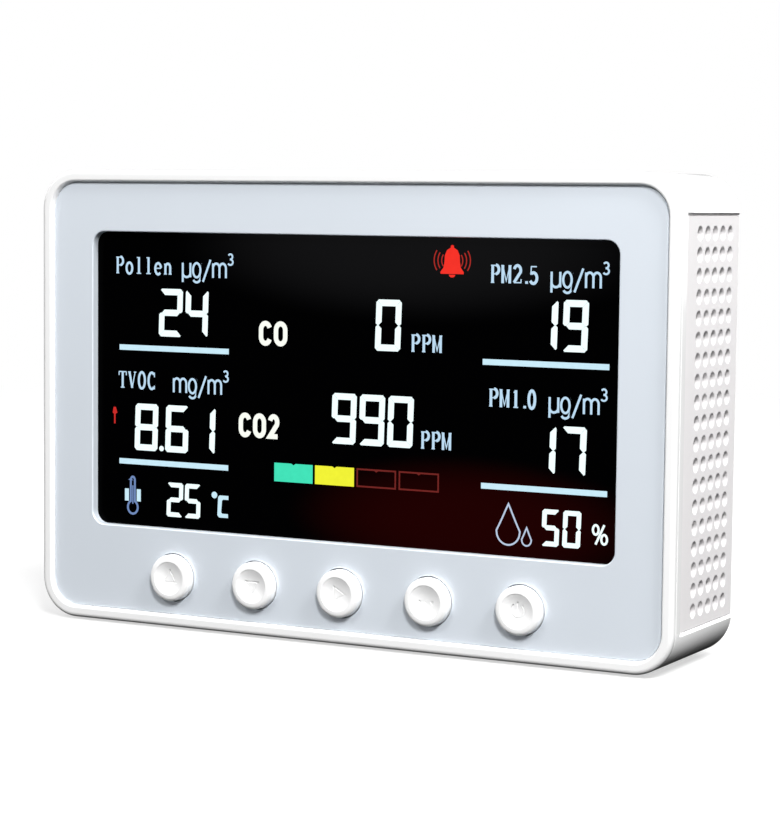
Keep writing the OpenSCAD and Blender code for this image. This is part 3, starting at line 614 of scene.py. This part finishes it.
def housing_inner():
    """Screw posts, hook cups, bosses and ribs inside the rear housing."""
    half = case_w / 2
    parts = []
    for sx, sz in post_places:
        x, z = sx * (half - post_in), case_mid_z + sz * (case_h / 2 - post_in)
        parts.append(revolve([(1.5, -2), (3.5, -2), (3.5, inner_back_y), (2.8, inner_back_y), (2.8, 8),
                              (1.5, 8), (1.5, -2)], x, z, 40))
    for x in (-25, 25):
        low_z, high_z = hook_z - 5.6, hook_z + 11.7
        y0, y1, t, reach = inner_back_y - 4.2, inner_back_y, 1.2, 5.6
        parts += [block((x - reach, y0, low_z), (x + reach, y0 + t, high_z)),
                  block((x - reach, y0 + t, low_z), (x - reach + t, y1, high_z)),
                  block((x + reach - t, y0 + t, low_z), (x + reach, y1, high_z)),
                  block((x - reach + t, y0 + t, low_z), (x + reach - t, y1, low_z + t)),
                  block((x - reach + t, y0 + t, high_z - t), (x + reach - t, y1, high_z))]
    battery_low, battery_high = box_mm("battery_cell")
    for side in (-1, 1):
        x = side * (battery_high.x + 1)
        parts.append(block((x - 0.6, inner_back_y - 5, battery_low.z + 2),
                           (x + 0.6, inner_back_y, battery_high.z - 2)))
    parts.append(block((-22, inner_back_y - 5, battery_low.z - 1.6), (22, inner_back_y, battery_low.z - 0.4)))
    board_low, board_high = box_mm("charge_board")

    def upright(u, v, depth):
        return (u, v, depth)

    for x in (-7.6, 7.6):
        boss = circle(2.4, x, inner_back_y - 14.5, 28)
        pilot = circle(0.85, x, inner_back_y - 14.5, 20)
        ends = [(0, housing_low.z + wall), (0, board_low.z)]
        parts.append(plate([(boss, True, ends), (pilot, False, ends)], upright))
    put("housing_inner", build("housing_inner", *join(*parts)), paint["case_plastic"])


def rubber_feet():
    """Four soft pads with a rounded edge and a dished underside."""
    foot_low, foot_high = box_mm("rubber_feet")
    parts = []
    r = 3.5
    for x in (foot_low.x + r, foot_high.x - r):
        for y in (foot_low.y + r, foot_high.y - r):
            def standing(u, v, depth, x=x, y=y):
                return (x + u, y + v, depth)

            edge = [(r - 1.9, 0.18), (r - 2.3, 0.04), (r - 2.6, 0.0), (0.35, 0.0), (0.12, 0.07), (0.0, 0.3),
                    (0.0, foot_high.z)]
            parts.append(plate([(circle(r, steps=40), True, edge)], standing))
    mesh = build("rubber_foot_pads", *join(*parts))
    put("rubber_foot_pads", mesh, paint["foot_rubber"], replaces=["rubber_feet"])


# ---------------------------------------------------------------- buttons

cap_face_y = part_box("button_cap_up")[0].y / MM
cap_back_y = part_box("button_cap_up")[1].y / MM
dish_r, dish_depth = 3.55, 0.75


def cap_profile():
    """From the middle of the dished face, over the rounded ring and back to the stem."""
    points = [(dish_r * k / 14, cap_face_y + dish_depth * (1 - (k / 14) ** 2)) for k in range(14)]
    points += arc(dish_r + 0.3, cap_face_y + 0.18, 0.3, 215, 265, 5)
    points += arc(button_r - 0.9, cap_face_y + 0.9, 0.9, -86, 0, 10)
    flange_y = display_y + 0.1
    points += [(button_r, flange_y), (button_r + 0.6, flange_y), (button_r + 0.6, flange_y + 1)]
    points += [(2.0, flange_y + 1), (2.0, cap_back_y), (0.0, cap_back_y)]
    return points


def pressed_in(shapes, x, depth=0.06):
    """Cutters for a mark in the dish. Each shape is an outline and its holes."""
    ends = [(0, cap_face_y - 0.5), (0, cap_face_y + dish_depth + depth)]
    parts = []
    for shape in shapes:
        moved = [[(x + u, button_z + v) for u, v in outline] for outline in shape]
        parts.append(plate([(lambda grow, outline=outline: outline, True, ends) for outline in moved]))
    return parts


def triangle_lines(turn, reach=2.2, width=0.42):
    """A triangle drawn as a line, as its outline and its hole."""
    corners = [(reach * math.cos(math.radians(turn + a)), reach * math.sin(math.radians(turn + a)))
               for a in (0, 120, 240)]
    share = 1 - 2 * width / reach
    return [[corners, [(u * share, v * share) for u, v in corners]]]


def power_lines():
    ring = [(a, r) for r, turns in ((1.75, range(-235, 56, 10)), (1.35, range(55, -236, -10))) for a in turns]
    opened = [(r * math.cos(math.radians(a)), r * math.sin(math.radians(a))) for a, r in ring]
    return [[opened], [[(-0.21, 0.2), (0.21, 0.2), (0.21, 2.0), (-0.21, 2.0)]]]


def dots():
    turns = [math.radians(a) for a in range(0, 360, 20)]
    return [[[(c + 0.4 * math.cos(a), 0.4 * math.sin(a)) for a in turns]] for c in (-1.5, 0, 1.5)]


def buttons():
    marks = {"up": triangle_lines(90), "down": triangle_lines(-90), "next": triangle_lines(0), "menu": dots(),
             "power": power_lines()}
    for x, (key, shapes) in zip(button_x, marks.items()):
        cap = build(f"button_{key}_cap", *revolve(cap_profile(), x, button_z))
        mesh = cut(cap, pressed_in(shapes, x))
        put(f"button_{key}_cap", mesh, paint["button_plastic"], f"button_{key}",
            [f"button_cap_{key}"])


side_grille(1)
side_grille(-1)
rear_housing()
housing_inner()
rubber_feet()
buttons()

# ---------------------------------------------------------------- readings on the display
# Places are in millimetres from the middle of the window.

ink_y = display_y - 0.03
ink_t = 0.02
lean = math.tan(math.radians(1.6))


class Ink:
    """Flat shapes that are lit in one colour, gathered into one piece."""

    def __init__(self, name, material, slot="display_black"):
        self.name, self.material, self.slot = name, material, slot
        self.points, self.faces, self.layer = [], [], 0

    def outline(self, outline, holes=(), slant_from=None):
        """A filled outline of (x, z) points, with holes."""
        self.layer += 1
        front = ink_y - 0.0004 * (self.layer % 20)
        loops = []
        for loop in (outline, *holes):
            if slant_from is not None:
                loop = [(x + (z - slant_from) * lean, z) for x, z in loop]
            loops.append([(x, z + window_z) for x, z in loop])
        start = len(self.points)
        flat = [[Vector((x, 0, z)) for x, z in loop] for loop in loops]
        triangles = tessellate_polygon(flat)
        both = [p for loop in loops for p in loop]
        self.points += [(x, front, z) for x, z in both] + [(x, front + ink_t, z) for x, z in both]
        count = len(both)
        self.faces += [tuple(start + i for i in t) for t in triangles]
        self.faces += [tuple(start + count + i for i in reversed(t)) for t in triangles]
        shift = start
        for loop in loops:
            self.faces += ring_faces(shift, shift + count, len(loop))
            shift += len(loop)

    def stroke(self, path, width, closed=False):
        """A line of even width, with mitred corners."""
        left, right = [], []
        count = len(path)
        for i, (x, z) in enumerate(path):
            before = path[i - 1] if i or closed else None
            after = path[(i + 1) % count] if i < count - 1 or closed else None
            before_d = unit(before, (x, z)) if before else unit((x, z), after)
            after_d = unit((x, z), after) if after else before_d
            nx, nz = -(before_d[1] + after_d[1]), before_d[0] + after_d[0]
            size = math.hypot(nx, nz) or 1.0
            nx, nz = nx / size, nz / size
            share = max(0.35, nx * -before_d[1] + nz * before_d[0])
            reach = width / 2 / share
            left.append((x + nx * reach, z + nz * reach))
            right.append((x - nx * reach, z - nz * reach))
        if closed:
            self.outline(left, [right])
        else:
            self.outline(left + right[::-1])

    def finish(self):
        mesh = build(self.name, self.points, self.faces)
        put(self.name, mesh, self.material)


def unit(a, b):
    dx, dz = b[0] - a[0], b[1] - a[1]
    size = math.hypot(dx, dz) or 1.0
    return dx / size, dz / size


def bend(x, z, rx, rz, a0, a1, steps=12):
    """Points of an elliptic arc."""
    turns = [math.radians(a0 + (a1 - a0) * i / steps) for i in range(steps + 1)]
    return [(x + rx * math.cos(a), z + rz * math.sin(a)) for a in turns]


SEGMENTS = {"0": "abcdef", "1": "bc", "2": "abged", "4": "fgbc", "5": "afgcd", "6": "afgedc", "7": "abc",
            "8": "abcdefg", "9": "abcdfg"}


def digit(ink, figure, x0, x1, z0, z1, t):
    """A seven-segment figure that fills the cell, with mitred joints and nicked corners."""
    w, h = x1 - x0, z1 - z0
    gap, nick, mid = 0.012 * t, 0.42 * t, h / 2
    corner = nick / 2
    level = [(nick, h), (w - nick, h), (w - corner - gap, h - corner + gap), (w - t - gap, h - t),
             (t + gap, h - t), (corner + gap, h - corner + gap)]
    upright = [(w - corner + gap, h - corner - gap), (w, h - nick), (w, mid + 0.28 * t),
               (w - 0.28 * t, mid + gap), (w - 0.5 * t, mid + gap), (w - t, mid + 0.5 * t),
               (w - t, h - t - gap)]
    shapes = {
        "a": level,
        "d": [(x, h - z) for x, z in level],
        "b": upright,
        "c": [(x, h - z) for x, z in upright],
        "f": [(w - x, z) for x, z in upright],
        "e": [(w - x, h - z) for x, z in upright],
        "g": [(0.5 * t + 2 * gap, mid), (t + gap, mid + t / 2), (w - t - gap, mid + t / 2),
              (w - 0.5 * t - 2 * gap, mid), (w - t - gap, mid - t / 2), (t + gap, mid - t / 2)],
    }
    for key in SEGMENTS[figure]:
        ink.outline([(x0 + x, z0 + z) for x, z in shapes[key]], slant_from=z0 + h / 2)


def serif_glyphs():
    """Narrow serif letters in a 1 by 1 cell: thick strokes, then thin strokes."""

    def foot(x, z, reach=0.17):
        return [(x - reach, z), (x + reach, z)]

    stem, right_stem = 0.24, 0.76
    return {
        "P": ([[(stem, 0), (stem, 1)], bend(0.55, 0.75, 0.33, 0.25, 88, -88)],
              [foot(stem, 0.03), [(0.07, 0.97), (0.58, 0.97)], [(stem, 0.5), (0.58, 0.5)]]),
        "o": ([bend(0.5, 0.33, 0.34, 0.33, 0, 360, 24)], []),
        "l": ([[(0.5, 0), (0.5, 1)]], [foot(0.5, 0.03, 0.26), [(0.26, 0.97), (0.5, 0.97)]]),
        "e": ([bend(0.5, 0.33, 0.34, 0.33, 10, 315, 22)], [[(0.16, 0.36), (0.84, 0.36)]]),
        "n": ([[(0.22, 0), (0.22, 0.64)], bend(0.5, 0.42, 0.28, 0.22, 165, 0) + [(0.78, 0)]],
              [foot(0.22, 0.03), foot(0.78, 0.03), [(0.06, 0.61), (0.22, 0.61)]]),
        "T": ([[(0.5, 0), (0.5, 0.97)]],
              [foot(0.5, 0.03, 0.22), [(0.06, 0.97), (0.94, 0.97)], [(0.07, 0.97), (0.07, 0.76)],
               [(0.93, 0.97), (0.93, 0.76)]]),
        "V": ([[(0.16, 1), (0.5, 0.02)]],
              [[(0.84, 1), (0.5, 0.02)], foot(0.17, 0.97, 0.15), foot(0.83, 0.97, 0.15)]),
        "O": ([bend(0.5, 0.5, 0.36, 0.49, 0, 360, 28)], []),
        "C": ([bend(0.53, 0.5, 0.38, 0.49, 48, 312, 22)],
              [[(0.84, 1), (0.84, 0.72)], [(0.84, 0), (0.84, 0.22)]]),
        "M": ([[(0.14, 0), (0.14, 1)], [(0.86, 0), (0.86, 1)]],
              [foot(0.14, 0.03, 0.13), foot(0.86, 0.03, 0.13), [(0.14, 0.98), (0.5, 0.12), (0.86, 0.98)],
               foot(0.08, 0.97, 0.1), foot(0.92, 0.97, 0.1)]),
        "2": ([bend(0.5, 0.72, 0.33, 0.27, 165, -20) + [(0.16, 0.05)]],
              [[(0.14, 0.05), (0.86, 0.05), (0.88, 0.24)]]),
        "5": ([[(0.24, 0.54)] + bend(0.47, 0.32, 0.36, 0.3, 120, -150)],
              [[(0.8, 0.95), (0.25, 0.95), (0.21, 0.5)]]),
        "1": ([[(0.52, 0), (0.52, 0.98)]], [foot(0.52, 0.03, 0.24), [(0.3, 0.84), (0.52, 0.96)]]),
        "0": ([bend(0.5, 0.5, 0.31, 0.49, 0, 360, 28)], []),
        ".": ([[(0.3, 0.0), (0.3, 0.14)]], []),
    }


GLYPHS = serif_glyphs()


def serif(ink, word, x0, x1, z0, z1, thick=0.55, thin=0.25):
    """A word in the narrow serif letters, spread over the width. A point takes less room than a letter."""
    widths = [0.45 if letter == "." else 1.0 for letter in word]
    cell = (x1 - x0) / sum(widths)
    left = x0
    for letter, width in zip(word, widths):
        for strokes, line in zip(GLYPHS[letter], (thick, thin)):
            for path in strokes:
                placed = [(left + (0.04 + 0.88 * u) * cell, z0 + v * (z1 - z0)) for u, v in path]
                closed = len(path) > 20 and math.dist(path[0], path[-1]) < 1e-6
                ink.stroke(placed[:-1] if closed else placed, line, closed)
        left += width * cell


def plain_glyphs():
    """Letters of one even line: width, then paths. A low letter is 1 high and a capital 1.5."""
    hook = bend(0.36, 0.3, 0.36, 0.3, 180, 360, 8)
    arch = [[(left, 0.0), (left, 0.72)] + bend(left + 0.3, 0.68, 0.3, 0.32, 180, 0, 8) + [(left + 0.6, 0.0)]
            for left in (0.0, 0.6)]
    return {
        "u": (0.72, [[(0.0, 1.0), (0.0, -0.35)], [(0.0, 1.0)] + hook + [(0.72, 1.0)],
                     [(0.72, 1.0), (0.72, 0.0)]]),
        "g": (0.7, [bend(0.35, 0.5, 0.35, 0.5, 0, 360, 24),
                    [(0.7, 1.0), (0.7, -0.05)] + bend(0.35, -0.03, 0.35, 0.32, 0, -150, 8)]),
        "/": (0.7, [[(0.0, -0.3), (0.7, 1.25)]]),
        "m": (1.2, [[(0.0, 0.0), (0.0, 1.0)], *arch]),
        "3": (0.7, [bend(0.3, 1.14, 0.34, 0.36, 150, -70, 10) + [(0.24, 0.78)],
                    [(0.24, 0.78)] + bend(0.3, 0.38, 0.4, 0.38, 75, -150, 12)]),
        "C": (1.0, [bend(0.5, 1.02, 0.5, 0.48, 20, 180, 12) + bend(0.5, 0.48, 0.5, 0.48, 180, 340, 12)]),
        "O": (1.1, [bend(0.55, 1.02, 0.52, 0.48, 0, 180, 14) + bend(0.55, 0.48, 0.52, 0.48, 180, 360, 14)
                    + [(1.07, 1.02)]]),
        "2": (0.9, [bend(0.45, 1.08, 0.42, 0.42, 165, -30, 12) + [(0.02, 0.0), (0.92, 0.0)]]),
        "%": (1.5, [bend(0.3, 1.12, 0.3, 0.38, 0, 360, 22), bend(1.2, 0.38, 0.3, 0.38, 0, 360, 22),
                    [(0.3, -0.05), (1.2, 1.55)]]),
    }


PLAIN = plain_glyphs()


def plain(ink, word, x0, x1, z0, height, line, spacing=0.24):
    """A word in plain letters between x0 and x1, on the line z0. The height is that of a low letter."""
    room = sum(PLAIN[letter][0] for letter in word) + spacing * (len(word) - 1)
    scale = (x1 - x0 - line) / room
    left = x0 + line / 2
    for letter in word:
        width, paths = PLAIN[letter]
        for path in paths:
            placed = [(left + u * scale, z0 + v * height) for u, v in path]
            closed = len(path) > 20 and math.dist(path[0], path[-1]) < 1e-6
            ink.stroke(placed[:-1] if closed else placed, line, closed)
        left += (width + spacing) * scale


def readings():
    digits = Ink("reading_digits", lit_white)
    big = 1.42
    for figure, x0, x1, z0, z1, t in (
            ("2", -48.2, -42.0, 10.0, 20.8, big), ("4", -41.2, -35.2, 10.0, 20.8, big),
            ("8", -54.7, -48.5, -16.2, -5.5, big), ("6", -46.4, -40.3, -16.2, -5.5, big),
            ("1", -39.2, -33.2, -16.2, -5.5, big),
            ("2", -46.0, -41.7, -30.9, -23.1, 1.05), ("5", -41.2, -37.0, -30.9, -23.1, 1.05),
            ("0", 7.5, 13.7, 8.8, 19.9, big),
            ("9", -3.2, 2.9, -11.9, -0.8, big), ("9", 3.7, 9.9, -11.9, -0.8, big),
            ("0", 10.7, 16.9, -11.9, -0.8, big),
            ("1", 44.6, 50.5, 10.2, 21.0, big), ("9", 51.7, 57.4, 10.2, 21.0, big),
            ("1", 44.6, 50.5, -15.7, -5.3, big), ("7", 51.7, 57.4, -15.7, -5.3, big),
            ("5", 47.6, 51.6, -30.7, -22.9, 1.05), ("0", 52.4, 56.5, -30.7, -22.9, 1.05)):
        digit(digits, figure, x0, x1, z0, z1, t)
    digits.outline(bend(-47.5, -15.5, 0.62, 0.62, 0, 345, 23))
    digits.finish()

    lines = Ink("reading_lines", lit_line)
    for x0, x1, z in ((-59, -29.7, 7.2), (-59, -29.7, -18.9), (33.3, 62.3, 7.4), (33.3, 62.3, -18.9)):
        lines.outline([(x0, z - 0.62), (x1, z - 0.62), (x1, z + 0.62), (x0, z + 0.62)])
    lines.finish()

    labels = Ink("quantity_labels", lit_label)
    serif(labels, "Pollen", -60.2, -44.6, 24.0, 27.8)
    serif(labels, "TVOC", -59.4, -48.9, -2.1, 1.7)
    serif(labels, "PM2.5", 34.7, 46.2, 24.1, 27.9, 0.62)
    serif(labels, "PM1.0", 34.7, 46.2, -2.0, 1.8, 0.62)
    serif(labels, "PPM", 16.0, 23.8, 8.9, 12.6, 0.6, 0.28)
    serif(labels, "PPM", 18.6, 26.3, -11.8, -8.1, 0.6, 0.28)
    labels.finish()

    units = Ink("quantity_units", lit_label)
    for word, x0, x1, low in (("ug/m", -42.2, -30.3, 22.4), ("mg/m", -44.5, -31.4, -3.7),
                              ("ug/m", 48.7, 60.3, 22.4), ("ug/m", 48.7, 60.3, -3.7)):
        plain(units, word, x0, x1, low + 1.15, 3.2, 0.5)
        plain(units, "3", x1 + 0.2, x1 + 1.75, low + 4.1, 1.6, 0.4)
    units.finish()

    gases = Ink("gas_labels", lit_cream)
    plain(gases, "CO", -21.9, -14.5, 9.4, 2.95, 1.12, 0.66)
    plain(gases, "CO2", -27.0, -16.4, -11.2, 2.95, 1.12, 0.66)
    gases.finish()
    percent = Ink("unit_percent", lit_white)
    plain(percent, "%", 59.0, 62.7, -29.4, 2.6, 0.5)
    percent.finish()

    small = Ink("temperature_unit", lit_line)
    small.outline(bend(-33.3, -25.2, 0.75, 0.75, 0, 345, 23))
    small.outline([(-31.9, -25.2), (-29.6, -25.2), (-29.6, -26.1), (-31.0, -26.1), (-31.3, -26.4),
                   (-31.5, -29.0), (-31.2, -29.3), (-29.7, -29.3), (-29.7, -30.2), (-32.0, -30.2),
                   (-32.5, -29.7), (-32.3, -25.6)])
    small.finish()


def level_bar():
    """Four level cells: two lit and two dim outlines. Each has a small pointer notch at its top."""
    pitch, width, low, high = 10.4, 9.8, -21.1, -16.96
    for i, material in enumerate((lit_teal, lit_yellow)):
        cell = Ink(f"level_cell_{i + 1}", material)
        x0 = -17.7 + i * pitch
        middle = x0 + width / 2
        cell.outline([(x0, low), (x0 + width, low), (x0 + width, high), (middle + 0.55, high),
                      (middle, high - 0.35), (middle - 0.55, high), (x0, high)])
        cell.finish()
    dim = Ink("level_cells_dim", dim_red)
    for i in (2, 3):
        x0 = -17.7 + i * pitch
        dim.stroke([(x0 + 0.2, low + 0.2), (x0 + width - 0.2, low + 0.2), (x0 + width - 0.2, high - 0.2),
                    (x0 + 0.2, high - 0.2)], 0.36, closed=True)
        dim.outline([(x0 + width / 2 - 0.5, high - 0.38), (x0 + width / 2 + 0.5, high - 0.38),
                     (x0 + width / 2, high - 0.7)])
    dim.finish()


def alarm_bell():
    x, z = 25.8, 25.0
    half = [(0, 6.9), (0.35, 6.75), (0.4, 6.3), (1.25, 5.8), (1.75, 4.7), (1.85, 3.2), (2.05, 2.1),
            (2.75, 1.2), (2.75, 0.75), (0.8, 0.75)]
    bell = Ink("alarm_bell", lit_red)
    bell.outline([(x + u, z + v) for u, v in half] + [(x - u, z + v) for u, v in half[:0:-1]])
    bell.outline(bend(x, z + 0.6, 0.75, 0.6, 180, 360))
    bell.finish()
    warning = Ink("warning_mark", lit("mark_red", (0.62, 0.012, 0.008), 1.0))
    warning.outline([(-60.9, -7.9), (-60.6, -6.6), (-60.0, -6.6), (-59.6, -7.9), (-60.1, -8.2),
                     (-60.1, -10.4), (-60.5, -10.4), (-60.5, -8.2)])
    warning.finish()
    waves = Ink("alarm_waves", lit("icon_dim_red", (0.42, 0.012, 0.006), 1.0))
    for side in (0, 180):
        for r in (2.5, 3.4, 4.3):
            waves.stroke(bend(x, z + 3.6, r, r * 0.92, side - 32, side + 32), 0.26)
    waves.finish()


def thermometer():
    x = -55.3
    icon = Ink("thermometer_icon", lit("icon_blue", (0.16, 0.26, 0.52), 1.0))
    icon.stroke(bend(x, -29.4, 1.35, 1.5, 65, -245, 26) + [(x - 0.55, -23.2)]
                + bend(x, -23.2, 0.55, 0.8, 180, 0, 8), 0.5, closed=True)
    icon.stroke([(x, -28.6), (x, -24.4)], 0.34)
    icon.finish()
    sides = Ink("thermometer_sides", lit_line)
    for side in (-1, 1):
        mid = x + side * 1.62
        sides.outline([(mid - 0.55, -28.0), (mid + 0.55, -28.0), (mid + 0.55, -25.2), (mid - 0.55, -25.2)])
    sides.finish()


def drops():
    icon = Ink("humidity_drops", lit("icon_pale", (0.52, 0.62, 0.80), 1.0))
    for x, low, high, half, width in ((39.8, -31.1, -22.4, 2.75, 0.38), (44.1, -31.0, -27.2, 1.12, 0.34)):
        rz = (high - low) * 0.34
        shape = bend(x, low + rz, half, rz, 200, 340, 18)
        shape += [(x + half * (1 - k) ** 0.85 * (1 - 0.25 * k), low + rz + (high - low - rz) * k)
                  for k in (0.0, 0.2, 0.4, 0.6, 0.8)]
        shape += [(x, high)]
        shape += [(x - half * (1 - k) ** 0.85 * (1 - 0.25 * k), low + rz + (high - low - rz) * k)
                  for k in (0.8, 0.6, 0.4, 0.2, 0.0)]
        icon.stroke(shape, width, closed=True)
    icon.finish()


readings()
level_bar()
alarm_bell()
thermometer()
drops()

# ---------------------------------------------------------------- camera, light and floor

yaw, pitch, roll = math.radians(28.13), math.radians(4.78), math.radians(0.6)
forward = Vector((-math.sin(yaw) * math.cos(pitch), math.cos(yaw) * math.cos(pitch), -math.sin(pitch)))
level_right = Vector((math.cos(yaw), math.sin(yaw), 0))
level_up = level_right.cross(forward)
right = math.cos(roll) * level_right + math.sin(roll) * level_up
up = -math.sin(roll) * level_right + math.cos(roll) * level_up
aim = Vector((0, panel_y, case_mid_z + 1.11))
camera_data = bpy.data.cameras.new("camera")
camera = bpy.data.objects.new("camera", camera_data)
bpy.context.scene.collection.objects.link(camera)
camera_data.sensor_fit = "AUTO"
camera_data.sensor_width = 36
camera_data.lens = 109.29
place = (aim - forward * 543.7 + right * 10.82 - up * 1.84) * MM
camera.matrix_world = Matrix.Translation(place) @ Matrix((right, up, -forward)).transposed().to_4x4()
camera_data.clip_start = 0.01
bpy.context.scene.camera = camera


def studio_floor(half=6000, fade_from=0.3, fade_to=0.75, own_glow=0.6):
    """A pale floor that turns into the white of the background some way from the object."""
    material = moulded("floor_white", (0.9, 0.9, 0.9), 0.99, (0.7, 0.8), 0.02, 200.0, specular=0.1)
    tree = material.node_tree
    place = tree.nodes.new("ShaderNodeTexCoord")
    away = tree.nodes.new("ShaderNodeVectorMath")
    away.operation = "LENGTH"
    tree.links.new(place.outputs["Object"], away.inputs[0])
    fade = spread(tree, away.outputs["Value"], own_glow, 1.0, fade_from, fade_to, smooth=True)
    glow = tree.nodes.new("ShaderNodeEmission")
    blend = tree.nodes.new("ShaderNodeMixShader")
    tree.links.new(fade, blend.inputs["Fac"])
    tree.links.new(tree.nodes["Principled BSDF"].outputs["BSDF"], blend.inputs[1])
    tree.links.new(glow.outputs["Emission"], blend.inputs[2])
    tree.links.new(blend.outputs["Shader"], tree.nodes["Material Output"].inputs["Surface"])
    corners = [(x * half, y * half, 0) for x, y in ((-1, -1), (1, -1), (1, 1), (-1, 1))]
    mesh = build("floor", corners, [(0, 1, 2, 3)])
    mesh.materials.append(material)
    floor = bpy.data.objects.new("floor", mesh)
    bpy.context.scene.collection.objects.link(floor)
    floor.visible_diffuse = False
    floor.visible_glossy = False


studio_floor()


def area_light(name, location, size, power, target=(0, 0, 0.05)):
    data = bpy.data.lights.new(name, "AREA")
    data.size = size
    data.energy = power
    light = bpy.data.objects.new(name, data)
    light.location = location
    light.rotation_euler = (Vector(target) - Vector(location)).to_track_quat("-Z", "Y").to_euler()
    bpy.context.scene.collection.objects.link(light)


def studio_world(above, below, left_share, zenith_share=0.1):
    """A plain white background. Its soft light fades towards the dark below, the left and the zenith."""
    world = bpy.data.worlds.new("studio")
    bpy.context.scene.world = world
    world.use_nodes = True
    tree = world.node_tree
    place = tree.nodes.new("ShaderNodeTexCoord")
    split = tree.nodes.new("ShaderNodeSeparateXYZ")
    tree.links.new(place.outputs["Generated"], split.inputs["Vector"])
    height = spread(tree, split.outputs["Z"], below, above, -0.08, 0.5, smooth=True)
    across = spread(tree, split.outputs["X"], left_share, 1.0, -0.95, -0.15, smooth=True)
    zenith = spread(tree, split.outputs["Z"], 1.0, zenith_share, 0.45, 1.0, smooth=True)
    soft = sum_of(tree, "MULTIPLY", sum_of(tree, "MULTIPLY", height, across), zenith)
    ray = tree.nodes.new("ShaderNodeLightPath")
    level = tree.nodes.new("ShaderNodeMapRange")
    level.inputs["To Max"].default_value = 1.0
    tree.links.new(ray.outputs["Is Camera Ray"], level.inputs["Value"])
    tree.links.new(soft, level.inputs["To Min"])
    background = tree.nodes["Background"]
    background.inputs["Color"].default_value = (1, 1, 1, 1)
    tree.links.new(level.outputs["Result"], background.inputs["Strength"])
    bpy.context.scene.view_settings.view_transform = "Standard"


area_light("key_light", (-0.5, -1.1, 1.2), 0.3, 7)
area_light("front_light", (0.44, -0.6, 0.6), 0.15, 8.2)
area_light("right_light", (1.15, -0.38, 1.3), 0.35, 19)
area_light("back_light", (0.2, 1.5, 0.5), 1.0, 12)
area_light("left_light", (-1.3, 0.1, 0.6), 0.8, 4)
studio_world(1.2, 0.0, 0.35)
